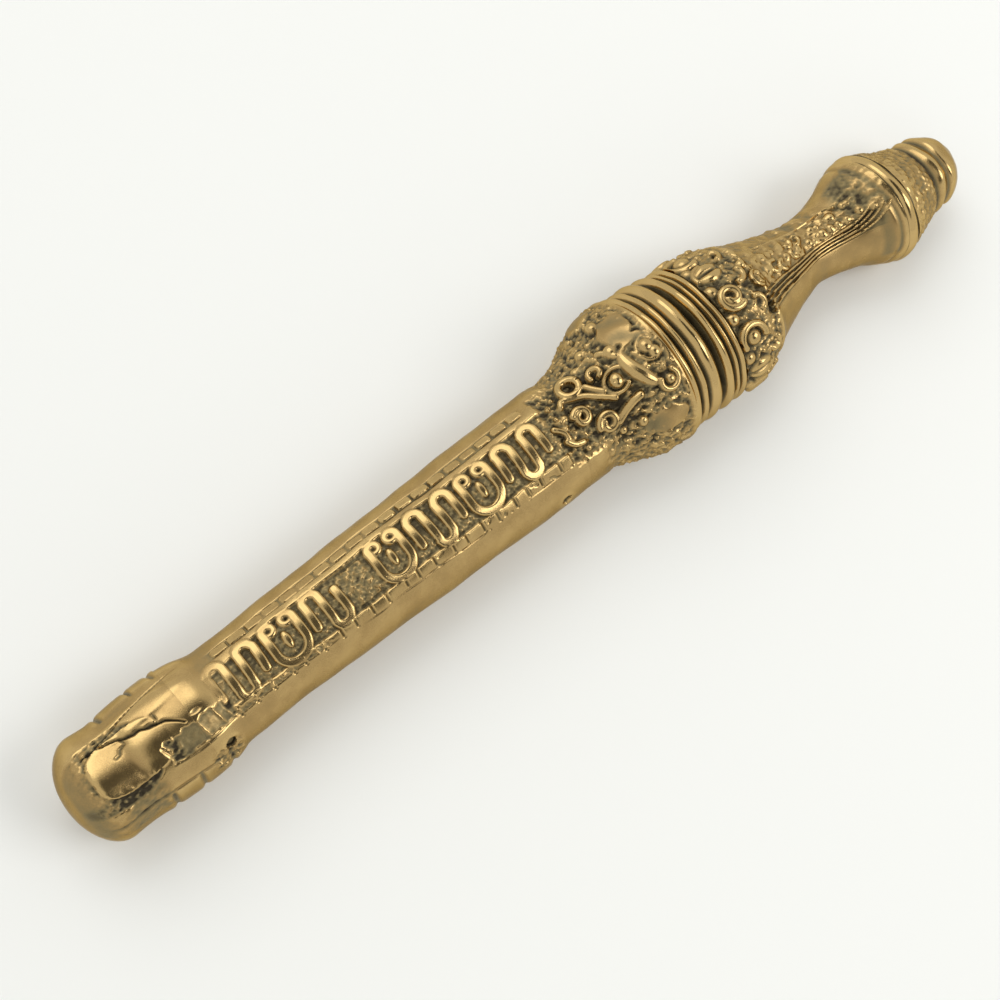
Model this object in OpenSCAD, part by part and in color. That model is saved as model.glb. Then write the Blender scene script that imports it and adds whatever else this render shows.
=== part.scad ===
// Mezuzah case in the form of a sheathed dagger.
// It lies on its flat back: +Y runs from the foot to the finial, +Z out of the decorated front.
// Stations along the case are measured from the end of the foot and moved to the middle at the end.

/* [Overall] */
// Length from the foot to the tip of the finial
overall_length = 165; // [164:0.5:167]
// Height of the long axis above the flat back
axis_height = 7.1; // [7.0:0.05:7.4]

/* [Case] */
// Where the foot cap meets the tube
foot_joint = 18.5; // [18:0.1:19]
// Radius of the foot cap
foot_radius = 7.8; // [7.6:0.1:8]
// Outer radius of the tube where it is narrowest
tube_foot_radius = 7.0; // [6.95:0.05:7.3]
// Outer radius of the tube below the collar
tube_mouth_radius = 8.3; // [8:0.1:8.5]
// Bore of the tube, which takes the spigots of the foot cap and the collar
tube_bore = 6.1; // [5.9:0.05:6.2]
// Where the tube meets the mouth collar
collar_joint = 82; // [81:0.5:83]
// Largest radius of the swollen collar
collar_radius = 12; // [11.5:0.1:12.5]
// Where the case ends and the cap begins
mouth = 105.6; // [105:0.1:106]
// Width of the parting groove
parting_gap = 0.5; // [0.4:0.05:0.7]

/* [Cap] */
// Outer radius of the sleeve that plugs into the mouth
sleeve_radius = 6.15; // [6.05:0.05:6.2]
// Wall of that sleeve
sleeve_wall = 0.85; // [0.8:0.05:0.9]
// Running clearance between the sleeve and the mouth
sleeve_clearance = 0.05; // [0.03:0.01:0.08]
// How far the sleeve reaches into the case
sleeve_reach = 14; // [10:0.5:15]
// Radius of the petals' crown
crown_radius = 10.9; // [10.6:0.1:11.2]
// Radius of the narrow waist
waist_radius = 5.25; // [5:0.05:5.6]
// Where the waist is narrowest
waist = 132.5; // [131:0.5:134]
// Radius of the flare and of the ring round it
flare_radius = 8.9; // [8.6:0.1:9.2]
// Where the flare ends and the pommel ring begins
flare = 146.2; // [145.5:0.1:147]
// Radius of the knob at the tip
knob_radius = 6.05; // [5.8:0.05:6.3]

/* [Scroll] */
// Length of the rolled parchment
scroll_length = 100; // [96:0.5:100]
// Radius of the rolled parchment
scroll_radius = 4.0; // [3.6:0.1:4.0]
// Thickness of the wrapper
wrapper_wall = 0.2; // [0.15:0.05:0.25]
// Radius of the thread round the wrapper
thread_radius = 0.25; // [0.2:0.01:0.27]

/* [Pins] */
// Radius of the two recessed pins
pin_radius = 0.6; // [0.5:0.05:0.7]
// How far the pins' heads lie below the surface
pin_recess = 1.0; // [0.9:0.05:1.3]

/* [Hidden] */

brass = "darkgoldenrod";
bright_brass = "gold";
parchment = "wheat";
paper = "ivory";
thread = "firebrick";

$fn = 72;
eps = 0.01;
spigot_wall = 0.8;
spigot_inner = tube_bore - spigot_wall;
sleeve_inner = sleeve_radius - sleeve_wall;
foot_floor = 8;
foot_spigot_end = foot_joint + 9.5;
collar_spigot_end = collar_joint - 12;
mouth_bore = sleeve_radius + sleeve_clearance;
mouth_bore_end = mouth - sleeve_reach;
collar_crest = 98.5;
ring_seat = 9;
ring_foot = 99.6;
cap_foot = mouth + parting_gap;
sleeve_top = cap_foot + 8.4;
crown_foot = 110.3;
crown_top = 118;
crown_bead = 113.4;
crown_throat_radius = 9.2;
pommel_ring_width = 2.2;
pommel_seat = 5.5;
finial_foot = flare + pommel_ring_width;
knob_foot = 155.6;
stud_radius = 1.8;
stud_foot = 138;
fit_gap = 0.01;
foot_pin_station = 20.8;
foot_pin_angle = 54;
collar_pin_station = 77.5;
collar_pin_angle = 75;
scroll_foot = foot_floor + 0.5;
scroll_hollow = 1;
wrapper_inner = scroll_radius + 0.03;
wrapper_outer = wrapper_inner + wrapper_wall;
wrapper_inset = 4;

// A smooth step from one [radius, station] to another, both ends level.
function s_step(a, b, n = 10) = [
    for (i = [0:n])
        let (t = i / n)
            [a[0] + (b[0] - a[0]) * t * t * (3 - 2 * t), a[1] + (b[1] - a[1]) * t]
];

// A sweep that leaves a level and steepens towards b by the given power.
function sweep_up(a, b, power, n = 12) = [
    for (i = [0:n])
        [a[0] + (b[0] - a[0]) * pow(i / n, power), a[1] + (b[1] - a[1]) * i / n]
];

// The same sweep run backwards: steep at a, level at b.
function sweep_down(a, b, power, n = 12) = [
    for (i = [0:n])
        [b[0] + (a[0] - b[0]) * pow(1 - i / n, power), a[1] + (b[1] - a[1]) * i / n]
];

// The points of a list after its first, for joining one sweep to the next.
function rest(points) = [for (i = [1:len(points) - 1]) points[i]];

// A quarter of an ellipse from the axis at station y0 out to radius r at station y1.
function round_end(r, y0, y1, n = 10) = [
    for (i = [0:n])
        let (a = 90 * i / n)
            [r * sin(a), y1 + (y0 - y1) * cos(a)]
];

// Turns a profile of [radius, station] points about the long axis of the case.
module turned() {
    translate([0, -overall_length / 2, axis_height])
        rotate([-90, 0, 0])
            rotate_extrude()
                children();
}

// Keeps what lies above the flat back.
module flat_backed() {
    intersection() {
        children();
        translate([-20, -100, 0])
            cube([40, 200, 40]);
    }
}

// A straight band between two stations and two radii.
module band(inner, outer, from, to) {
    translate([inner, from])
        square([outer - inner, to - from]);
}

// The outline of one round bead on a ring, from root up to crest and back.
function bead(root, crest, station, half_width, n = 6) = [
    for (i = [0:n])
        let (a = 180 * i / n)
            [root + (crest - root) * sin(a), station - half_width * cos(a)]
];

// A short radial rod through the right flank, between two radii.
module radial_rod(radius, station, angle, from, to) {
    translate([0, station - overall_length / 2, axis_height])
        rotate([0, angle, 0])
            translate([0, 0, from])
                cylinder(r = radius, h = to - from, $fn = 24);
}

module case_tube() {
    shoulder = 21;
    neck = 24.5;
    color(brass)
        difference() {
            flat_backed()
                turned()
                    polygon(concat(
                        [[tube_bore, foot_joint], [foot_radius, foot_joint]],
                        s_step([foot_radius, shoulder], [tube_foot_radius, neck], 8),
                        sweep_up([tube_foot_radius, neck + 4], [tube_mouth_radius, collar_joint], 1.2),
                        [[tube_bore, collar_joint]]
                    ));
            radial_rod(pin_radius + fit_gap, foot_pin_station, foot_pin_angle, 5, 12);
            radial_rod(pin_radius + fit_gap, collar_pin_station, collar_pin_angle, 5, 12);
        }
}

module foot_cap() {
    dome = 5;
    color(brass)
        difference() {
            flat_backed()
                turned()
                    difference() {
                        union() {
                            polygon(concat(
                                round_end(foot_radius, 0, dome, 12),
                                [[foot_radius, foot_joint], [0, foot_joint]]
                            ));
                            band(spigot_inner - eps, tube_bore, foot_joint - eps, foot_spigot_end);
                        }
                        translate([-eps, foot_floor])
                            square([spigot_inner + eps, 40]);
                    }
            radial_rod(pin_radius + fit_gap, foot_pin_station, foot_pin_angle, 4, 12);
        }
}

module foot_cap_pin() {
    color(brass)
        radial_rod(pin_radius, foot_pin_station, foot_pin_angle, spigot_inner + 0.05, foot_radius - pin_recess);
}

module mouth_collar() {
    color(brass)
        difference() {
            flat_backed()
                turned()
                    difference() {
                        union() {
                            polygon(concat(
                                [[0, collar_joint], [tube_mouth_radius, collar_joint]],
                                s_step([tube_mouth_radius, collar_joint + 1.5], [collar_radius, collar_crest], 12),
                                [[collar_radius - 0.4, ring_foot], [ring_seat, ring_foot]],
                                [[ring_seat, mouth], [0, mouth]]
                            ));
                            band(0, tube_bore, collar_spigot_end, collar_joint + eps);
                        }
                        translate([-eps, collar_spigot_end - 1])
                            square([spigot_inner + eps, 80]);
                        translate([-eps, mouth_bore_end - 0.5])
                            square([mouth_bore + eps, 40]);
                    }
            radial_rod(pin_radius + fit_gap, collar_pin_station, collar_pin_angle, 4, 12);
        }
}

module mouth_collar_pin() {
    color(brass)
        radial_rod(
            pin_radius, collar_pin_station, collar_pin_angle,
            spigot_inner + 0.05, tube_mouth_radius - 0.2 - pin_recess
        );
}

module mouth_ring() {
    color(bright_brass)
        flat_backed()
            turned()
                polygon(concat(
                    [[ring_seat + fit_gap, ring_foot + fit_gap]],
                    bead(10.6, 11.5, 100.55, 0.9),
                    bead(10.6, 11.3, 102.2, 0.7),
                    bead(10.2, 11.5, 104.2, 1.3),
                    [[ring_seat + fit_gap, mouth]]
                ));
}

module cap_ring() {
    color(bright_brass)
        flat_backed()
            turned()
                polygon(concat(
                    [[ring_seat + fit_gap, cap_foot]],
                    bead(10.3, 11.3, 107.05, 0.85),
                    bead(10.5, 11.2, 108.5, 0.55),
                    bead(10.4, 11.1, 109.65, 0.55),
                    [[ring_seat + fit_gap, crown_foot - fit_gap]]
                ));
}

module cap_shell() {
    crown_end = 2 * crown_bead - crown_foot;
    stud_bore = stud_radius + fit_gap;
    color(brass)
        flat_backed()
            turned()
                polygon(concat(
                    [[sleeve_radius, cap_foot], [ring_seat, cap_foot], [ring_seat, crown_foot]],
                    bead(crown_radius - 0.6, crown_radius, crown_bead, crown_bead - crown_foot),
                    s_step([crown_radius - 0.7, crown_end], [crown_throat_radius, crown_top], 5),
                    rest(sweep_down([crown_throat_radius, crown_top], [waist_radius, waist], 1.2)),
                    rest(sweep_up([waist_radius, waist], [flare_radius, flare], 1.7)),
                    [[pommel_seat, flare], [pommel_seat, finial_foot], [stud_bore, finial_foot]],
                    [[stud_bore, stud_foot - 0.3], [0, stud_foot - 0.3], [0, 126.5], [3, 125]],
                    [[sleeve_inner, crown_top], [sleeve_inner, sleeve_top], [sleeve_radius, sleeve_top]]
                ));
}

module cap_sleeve() {
    color(bright_brass)
        turned()
            band(sleeve_inner, sleeve_radius - fit_gap, mouth_bore_end, sleeve_top - fit_gap);
}

module pommel_ring() {
    half_width = pommel_ring_width / 2;
    color(bright_brass)
        flat_backed()
            turned()
                polygon(concat(
                    [[pommel_seat + fit_gap, flare + fit_gap]],
                    bead(flare_radius - 0.6, flare_radius + 0.1, flare + half_width, half_width - fit_gap),
                    [[pommel_seat + fit_gap, finial_foot - fit_gap]]
                ));
}

module finial() {
    cone_radius = 8.2;
    dome_foot = 158.8;
    color(brass)
        flat_backed()
            turned()
                polygon(concat(
                    [[0, stud_foot], [stud_radius, stud_foot], [stud_radius, finial_foot]],
                    [[cone_radius, finial_foot], [knob_radius - 0.35, knob_foot]],
                    bead(knob_radius - 0.6, knob_radius, knob_foot + 1.1, 1.1, 6),
                    [[knob_radius - 0.6, dome_foot - 0.3]],
                    [for (i = [0:12])
                        let (a = 90 * i / 12)
                            [(knob_radius - 0.15) * cos(a), dome_foot + (overall_length - dome_foot) * sin(a)]]
                ));
}

module parchment_scroll() {
    color(parchment)
        turned()
            band(scroll_hollow, scroll_radius, scroll_foot, scroll_foot + scroll_length);
}

module scroll_wrapper() {
    color(paper)
        turned()
            band(
                wrapper_inner, wrapper_outer,
                scroll_foot + wrapper_inset, scroll_foot + scroll_length - wrapper_inset
            );
}

// Three turns of thread side by side with a small knot on the front.
module scroll_tie() {
    middle = scroll_foot + scroll_length / 2;
    pitch = 2 * thread_radius - 0.05;
    turn_radius = wrapper_outer + thread_radius + 0.02;
    color(thread)
        union() {
            turned()
                for (i = [-1:1])
                    translate([turn_radius, middle + i * pitch])
                        circle(thread_radius, $fn = 24);
            translate([0, middle - overall_length / 2, axis_height + turn_radius + 0.03])
                sphere(r = 0.34, $fn = 24);
        }
}

case_tube();
foot_cap();
foot_cap_pin();
mouth_collar();
mouth_collar_pin();
mouth_ring();
cap_ring();
cap_shell();
cap_sleeve();
pommel_ring();
finial();
parchment_scroll();
scroll_wrapper();
scroll_tie();
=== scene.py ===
import math
import bmesh
import bpy
import numpy as np
from mathutils import Matrix, Vector
from mathutils.bvhtree import BVHTree


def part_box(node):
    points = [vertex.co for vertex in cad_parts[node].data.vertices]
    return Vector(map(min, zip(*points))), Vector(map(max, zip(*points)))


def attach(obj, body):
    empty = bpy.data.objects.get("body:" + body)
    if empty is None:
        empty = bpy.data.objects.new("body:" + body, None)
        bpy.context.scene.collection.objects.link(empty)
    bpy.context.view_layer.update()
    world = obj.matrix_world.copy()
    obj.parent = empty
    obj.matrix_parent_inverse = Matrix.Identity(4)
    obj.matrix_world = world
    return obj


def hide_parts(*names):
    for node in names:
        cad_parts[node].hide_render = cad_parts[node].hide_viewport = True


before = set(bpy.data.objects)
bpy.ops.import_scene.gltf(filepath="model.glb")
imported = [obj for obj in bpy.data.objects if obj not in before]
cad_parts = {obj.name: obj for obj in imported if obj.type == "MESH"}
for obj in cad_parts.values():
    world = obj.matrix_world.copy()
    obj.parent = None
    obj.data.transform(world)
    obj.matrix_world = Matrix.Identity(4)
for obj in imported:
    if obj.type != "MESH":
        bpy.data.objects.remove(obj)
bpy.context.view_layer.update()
mm = 0.001


def boxMid(node):
    low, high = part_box(node)
    return [(a + b) / 2 for a, b in zip(low, high)]


# the long axis of the case, and stations along it counted in mm from the end of the foot
axisHeight = boxMid("parchment_scroll")[2] / mm
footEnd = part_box("foot_cap")[0][1]


def stationOf(y):
    return (y - footEnd) / mm


footJoint = stationOf(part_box("case_tube")[0][1])
collarJoint = stationOf(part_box("case_tube")[1][1])
ringFoot = stationOf(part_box("mouth_ring")[0][1])
mouthEnd = stationOf(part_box("mouth_ring")[1][1])
capFoot = stationOf(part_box("cap_shell")[0][1])
crownFoot = stationOf(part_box("cap_ring")[1][1])
flareEnd = stationOf(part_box("pommel_ring")[0][1])
finialFoot = stationOf(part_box("pommel_ring")[1][1])
tipEnd = stationOf(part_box("finial")[1][1])
print("stage: frame read, axis", round(axisHeight, 2), "mm up, length", round(tipEnd, 1), "mm")

# camera, light and floor

cameraView = {
    "tiltToFoot": 18.2,  # degrees from straight down, towards the foot
    "leanToRight": 7.0,  # degrees from straight down, towards the flank with the pins
    "roll": 37.04,  # degrees between the case and the bottom of the frame
    "distance": 221.0 * mm,
    "target": (1.45 * mm, -12.12 * mm, 7.6 * mm),
    "lens": 57.1,
}


def makeCamera(view):
    lean, tilt = math.radians(view["leanToRight"]), math.radians(view["tiltToFoot"])
    towards = Vector((math.sin(lean), -math.sin(tilt), 0))
    towards.z = math.sqrt(1 - towards.length_squared)
    along = (Vector((0, 1, 0)) - towards * towards.y).normalized()
    side = along.cross(towards)
    roll = math.radians(view["roll"])
    right = along * math.cos(roll) + side * math.sin(roll)
    up = along * math.sin(roll) - side * math.cos(roll)
    turn = Matrix((right, up, towards)).transposed().to_4x4()
    camera = bpy.data.objects.new("camera", bpy.data.cameras.new("camera"))
    camera.data.lens = view["lens"]
    camera.data.clip_start = 0.005
    camera.matrix_world = Matrix.Translation(Vector(view["target"]) + towards * view["distance"]) @ turn
    bpy.context.scene.collection.objects.link(camera)
    bpy.context.scene.camera = camera


makeCamera(cameraView)

lightSetup = {
    # name: (direction from the middle of the case, distance, size, watts), metres
    "lampLeft": ((-0.64, 0.03, 0.77), 0.8, 0.6, 1.55),
    "lampRight": ((0.5, 0.47, 0.73), 0.8, 0.42, 1.9),
}


def makeLights(setup):
    for name, (direction, distance, size, watts) in setup.items():
        lamp = bpy.data.lights.new(name, "AREA")
        lamp.size = size
        lamp.energy = watts
        place = Vector(direction).normalized() * distance
        light = bpy.data.objects.new(name, lamp)
        light.matrix_world = Matrix.Translation(place) @ place.to_track_quat("Z", "Y").to_matrix().to_4x4()
        bpy.context.scene.collection.objects.link(light)


makeLights(lightSetup)



def newMesh(name, places, edges=(), faces=(), **values):
    # a mesh from plain lists, with any numbers kept as point attributes
    mesh = bpy.data.meshes.new(name)
    mesh.from_pydata(places, list(edges), list(faces))
    for label, numbers in values.items():
        keepValues(mesh, label, numbers)
    return mesh


def keepValues(mesh, label, numbers):
    mesh.attributes.new(label, "FLOAT", "POINT").data.foreach_set("value", numbers)


def vertexPlaces(mesh):
    points = np.zeros(len(mesh.vertices) * 3)
    mesh.vertices.foreach_get("co", points)
    return points.reshape(-1, 3)


# materials


def hexColour(code):
    values = [int(code[i:i + 2], 16) / 255 for i in (1, 3, 5)]
    linear = [v / 12.92 if v <= 0.04045 else ((v + 0.055) / 1.055) ** 2.4 for v in values]
    return (*linear, 1.0)


def addNode(tree, kind, sockets=(), **settings):
    # a socket's value is a plain value, or (node, output) to link
    # a colour ramp's stops are (position, hex colour)
    node = tree.nodes.new(kind)
    stops = settings.pop("stops", [])
    for key, value in settings.items():
        setattr(node, key, value)
    for i, (position, colour) in enumerate(stops):
        element = node.color_ramp.elements[i] if i < 2 else node.color_ramp.elements.new(position)
        element.position = position
        element.color = hexColour(colour)
    for key, value in dict(sockets).items():
        if isinstance(value, tuple) and isinstance(value[0], bpy.types.Node):
            tree.links.new(value[0].outputs[value[1]], node.inputs[key])
        else:
            node.inputs[key].default_value = value
    return node


def newMaterial(name):
    material = bpy.data.materials.new(name)
    material.use_nodes = True
    tree = material.node_tree
    tree.nodes.clear()
    return material, tree


# sand-cast yellow brass, blackened and then rubbed back: bright high spots over a dull olive film; the film and
# hollow colours also serve as painted shade in the ring valleys and pin holes, on the pins, on the collar's
# smooth patches and in the flare's rim groove
antiquedBrass = {
    "rubbed": "#c4a66f",
    "worn": "#a98c5c",
    "filmAndShade": "#82734f",
    "hollow": "#332b1e",
    "edge": "#ddd3bb",  # what the film turns reflections to at a glancing angle
    "cloudSize": 4.0,  # mm between lighter and darker areas of the film
    "pitSize": 0.55,  # mm between casting pits
    "grit": 0.16,  # mm, the fine tooth of the moulding sand
}


def makeAntiquedBrass(name, finish, polish=0.0):
    material, tree = newMaterial(name)
    place = addNode(tree, "ShaderNodeTexCoord")
    spot = (place, "Object")
    recess = addNode(tree, "ShaderNodeAttribute", attribute_name="recess")
    clouds = addNode(tree, "ShaderNodeTexNoise", {
        "Vector": spot, "Scale": 1 / (finish["cloudSize"] * mm), "Detail": 4.0, "Roughness": 0.6})
    grit = addNode(tree, "ShaderNodeTexNoise", {
        "Vector": spot, "Scale": 1 / (finish["grit"] * mm), "Detail": 3.0, "Roughness": 0.65})
    pits = addNode(tree, "ShaderNodeTexVoronoi", {"Vector": spot, "Scale": 1 / (finish["pitSize"] * mm)})
    # how much film is left: the recess, pushed about by the clouds and the grit; where the recess carries
    # painted shade, so does the film
    cloudPush = addNode(tree, "ShaderNodeMath", {
        0: (clouds, "Fac"), 1: 0.5, 2: -0.25}, operation="MULTIPLY_ADD")
    gritPush = addNode(tree, "ShaderNodeMath", {
        0: (grit, "Fac"), 1: 0.3, 2: -0.15}, operation="MULTIPLY_ADD")
    push = addNode(tree, "ShaderNodeMath", {
        0: (cloudPush, "Value"), 1: (gritPush, "Value")}, operation="ADD")
    filmAndShade = addNode(tree, "ShaderNodeMath", {
        0: (recess, "Fac"), 1: (push, "Value")}, operation="ADD", use_clamp=True)
    filmAndShade = addNode(tree, "ShaderNodeMath", {
        0: (filmAndShade, "Value"), 1: polish * 0.12}, operation="SUBTRACT", use_clamp=True)
    colour = addNode(tree, "ShaderNodeValToRGB", {"Fac": (filmAndShade, "Value")}, stops=[
        (0.06, finish["rubbed"]), (0.34, finish["worn"]), (0.6, finish["filmAndShade"]), (0.93, finish["hollow"])])
    rough = addNode(tree, "ShaderNodeMapRange", {
        "Value": (filmAndShade, "Value"), "From Min": 0.15, "From Max": 0.8,
        "To Min": 0.2 - 0.08 * polish, "To Max": 0.58})
    metal = addNode(tree, "ShaderNodeMapRange", {
        "Value": (filmAndShade, "Value"), "From Min": 0.35, "From Max": 0.75, "To Min": 1.0, "To Max": 0.2})
    pitShape = addNode(tree, "ShaderNodeMapRange", {
        "Value": (pits, "Distance"), "From Min": 0.0, "From Max": 0.16, "To Min": 0.0, "To Max": 1.0})
    pitDepth = addNode(tree, "ShaderNodeBump", {
        "Height": (pitShape, "Result"), "Strength": 0.25, "Distance": 0.04 * mm})
    gritDepth = addNode(tree, "ShaderNodeBump", {
        "Height": (grit, "Fac"), "Strength": 0.35, "Distance": 0.025 * mm, "Normal": (pitDepth, "Normal")})
    shader = addNode(tree, "ShaderNodeBsdfPrincipled", {
        "Base Color": (colour, "Color"), "Metallic": (metal, "Result"), "Roughness": (rough, "Result"),
        "Specular Tint": hexColour(finish["edge"]), "Normal": (gritDepth, "Normal")})
    addNode(tree, "ShaderNodeOutputMaterial", {"Surface": (shader, "BSDF")})
    return material


castBrass = makeAntiquedBrass("castBrass", antiquedBrass)
# the pins' brass: extra film all over darkens it, painted shade standing in for the shade in the pin holes
shadedPinBrass = makeAntiquedBrass("shadedPinBrass", antiquedBrass, polish=-5.0)
rubbedBrass = makeAntiquedBrass("rubbedBrass", antiquedBrass, polish=1.0)

# drawn brass tube: satin, with fine lines along its length
drawnTube = {"metal": "#d0ae70", "lineWidth": 0.12}


def makeDrawnBrass(finish):
    material, tree = newMaterial("drawnBrass")
    place = addNode(tree, "ShaderNodeTexCoord")
    squeeze = addNode(tree, "ShaderNodeMapping", {"Vector": (place, "Object"), "Scale": (1.0, 0.03, 1.0)})
    lines = addNode(tree, "ShaderNodeTexNoise", {
        "Vector": (squeeze, "Vector"), "Scale": 1 / (finish["lineWidth"] * mm), "Detail": 2.0})
    rough = addNode(tree, "ShaderNodeMapRange", {"Value": (lines, "Fac"), "To Min": 0.22, "To Max": 0.42})
    bump = addNode(tree, "ShaderNodeBump", {
        "Height": (lines, "Fac"), "Strength": 0.25, "Distance": 0.01 * mm})
    shader = addNode(tree, "ShaderNodeBsdfPrincipled", {
        "Base Color": hexColour(finish["metal"]), "Metallic": 1.0, "Roughness": (rough, "Result"),
        "Normal": (bump, "Normal")})
    addNode(tree, "ShaderNodeOutputMaterial", {"Surface": (shader, "BSDF")})
    return material


# scraped goatskin parchment: matt cream with faint darker follicles and veins
skinFinish = {"light": "#e6d7b4", "dark": "#c9b184", "veinSize": 6.0, "follicle": 0.5}


def makeParchment(finish):
    material, tree = newMaterial("scrapedGoatskin")
    place = addNode(tree, "ShaderNodeTexCoord")
    veins = addNode(tree, "ShaderNodeTexNoise", {
        "Vector": (place, "Object"), "Scale": 1 / (finish["veinSize"] * mm),
        "Detail": 6.0, "Distortion": 1.5})
    follicles = addNode(tree, "ShaderNodeTexVoronoi", {
        "Vector": (place, "Object"), "Scale": 1 / (finish["follicle"] * mm)})
    mixed = addNode(tree, "ShaderNodeMath", {
        0: (follicles, "Distance"), 1: 0.25, 2: (veins, "Fac")}, operation="MULTIPLY_ADD")
    colour = addNode(tree, "ShaderNodeValToRGB", {"Fac": (mixed, "Value")}, stops=[
        (0.3, finish["dark"]), (0.75, finish["light"])])
    bump = addNode(tree, "ShaderNodeBump", {
        "Height": (mixed, "Value"), "Strength": 0.3, "Distance": 0.03 * mm})
    shader = addNode(tree, "ShaderNodeBsdfPrincipled", {
        "Base Color": (colour, "Color"), "Roughness": 0.72, "Subsurface Weight": 0.08,
        "Subsurface Scale": 0.5 * mm, "Normal": (bump, "Normal")})
    addNode(tree, "ShaderNodeOutputMaterial", {"Surface": (shader, "BSDF")})
    return material


# glazed wrapping paper round the roll: smooth, off-white, with soft handling creases, bumped and painted darker
# as painted shade
paperFinish = {"light": "#f1ede1", "creaseShade": "#e6e0d0", "creaseSize": 5.0}


def makePaper(finish):
    material, tree = newMaterial("wrappingPaper")
    place = addNode(tree, "ShaderNodeTexCoord")
    creases = addNode(tree, "ShaderNodeTexNoise", {
        "Vector": (place, "Object"), "Scale": 1 / (finish["creaseSize"] * mm),
        "Detail": 5.0, "Roughness": 0.7})
    colour = addNode(tree, "ShaderNodeValToRGB", {"Fac": (creases, "Fac")}, stops=[
        (0.35, finish["creaseShade"]), (0.55, finish["light"])])
    bump = addNode(tree, "ShaderNodeBump", {
        "Height": (creases, "Fac"), "Strength": 0.4, "Distance": 0.05 * mm})
    shader = addNode(tree, "ShaderNodeBsdfPrincipled", {
        "Base Color": (colour, "Color"), "Roughness": 0.45, "Normal": (bump, "Normal")})
    addNode(tree, "ShaderNodeOutputMaterial", {"Surface": (shader, "BSDF")})
    return material


# waxed linen thread, dyed dark red: two plies that show as slanting lines, bumped and painted darker between
# the plies as painted shade
threadFinish = {"dye": "#7d2620", "shade": "#511713", "plyLength": 0.35}


def makeThread(finish):
    material, tree = newMaterial("waxedThread")
    place = addNode(tree, "ShaderNodeTexCoord")
    plies = addNode(tree, "ShaderNodeTexWave", {
        "Vector": (place, "Object"), "Scale": 0.3 / (finish["plyLength"] * mm), "Distortion": 1.0},
        bands_direction="DIAGONAL")
    colour = addNode(tree, "ShaderNodeValToRGB", {"Fac": (plies, "Fac")}, stops=[
        (0.2, finish["shade"]), (0.7, finish["dye"])])
    bump = addNode(tree, "ShaderNodeBump", {
        "Height": (plies, "Fac"), "Strength": 0.6, "Distance": 0.05 * mm})
    shader = addNode(tree, "ShaderNodeBsdfPrincipled", {
        "Base Color": (colour, "Color"), "Roughness": 0.5, "Coat Weight": 0.2, "Coat Roughness": 0.4,
        "Normal": (bump, "Normal")})
    addNode(tree, "ShaderNodeOutputMaterial", {"Surface": (shader, "BSDF")})
    return material


floorLook = {"paper": "#f4f4f1", "grain": 900.0, "halfWidth": 3.0}


def makeFloor(look):
    material, tree = newMaterial("paleFloor")
    place = addNode(tree, "ShaderNodeTexCoord")
    grain = addNode(tree, "ShaderNodeTexNoise", {
        "Vector": (place, "Object"), "Scale": look["grain"], "Detail": 2.0})
    bump = addNode(tree, "ShaderNodeBump", {
        "Height": (grain, "Fac"), "Strength": 0.08, "Distance": 0.1 * mm})
    shader = addNode(tree, "ShaderNodeBsdfPrincipled", {
        "Base Color": hexColour(look["paper"]), "Roughness": 0.85, "Normal": (bump, "Normal")})
    addNode(tree, "ShaderNodeOutputMaterial", {"Surface": (shader, "BSDF")})
    half = look["halfWidth"]
    corners = [(-half, -half, 0), (half, -half, 0), (half, half, 0), (-half, half, 0)]
    mesh = newMesh("floor", corners, faces=[(0, 1, 2, 3)])
    floor = bpy.data.objects.new("floor", mesh)
    mesh.materials.append(material)
    bpy.context.scene.collection.objects.link(floor)


studio = {
    "walls": "#f2f3f0",
    "bright": 0.96,
    "dark": 0.1,  # the strength of the two dark cards that hang over the case
    "cards": ((0.12, 0.22, 0.96), (0.66, 0.03, 0.75)),
    "cardEdge": (0.915, 0.95),
}


def makeWorld(setup):
    world = bpy.data.worlds.new("studio")
    world.use_nodes = True
    tree = world.node_tree
    direction = addNode(tree, "ShaderNodeTexCoord")
    towards = [addNode(tree, "ShaderNodeVectorMath", {
        0: (direction, "Generated"), 1: tuple(Vector(card).normalized())}, operation="DOT_PRODUCT")
        for card in setup["cards"]]
    nearest = addNode(tree, "ShaderNodeMath", {
        0: (towards[0], "Value"), 1: (towards[1], "Value")}, operation="MAXIMUM")
    strength = addNode(tree, "ShaderNodeMapRange", {
        "Value": (nearest, "Value"), "From Min": setup["cardEdge"][0], "From Max": setup["cardEdge"][1],
        "To Min": setup["bright"], "To Max": setup["dark"]})
    background = tree.nodes["Background"]
    background.inputs["Color"].default_value = hexColour(setup["walls"])
    tree.links.new(strength.outputs["Result"], background.inputs["Strength"])
    bpy.context.scene.world = world


makeFloor(floorLook)
makeWorld(studio)
bpy.context.scene.view_settings.view_transform = "Standard"
print("stage: camera, lights, floor and materials made")

# the shape of the cast surface, in mm

caseOutline = [
    # (station, radius): foot, tube, swollen collar
    (5, 7.72), (8.4, 7.5), (12, 7.8), (15.8, 7.95), (20.6, 7.75), (23.4, 7.05), (26, 6.95), (38, 7.15),
    (51, 7.55), (65, 8.0), (82, 8.3), (86.5, 8.4), (89.3, 9.15), (92.3, 10.6), (95.4, 11.8), (98.0, 12.15),
    (101, 11.9),
]
capOutline = [
    # crown, waist, flare
    (109.5, 11.1), (113, 11.4), (116.4, 11.0), (118.2, 10.3), (119.9, 9.1), (121.6, 8.35), (125, 7.2),
    (128.5, 6.15), (132, 5.3), (134.5, 5.35), (138.9, 6.1), (141.2, 6.8), (143.2, 7.8), (144.8, 8.6),
    (146.4, 9.0),
]
finialOutline = [
    # rough cone, groove, ring, groove, dome
    (147.5, 8.9), (149.5, 8.35), (152.5, 7.2), (155.0, 6.25), (155.7, 5.75), (156.3, 6.0), (157.2, 6.15),
    (158.0, 5.75), (158.5, 5.5), (159.2, 5.8), (160.4, 5.5), (161.8, 4.5), (163.2, 2.95), (164.3, 1.6),
]
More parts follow.
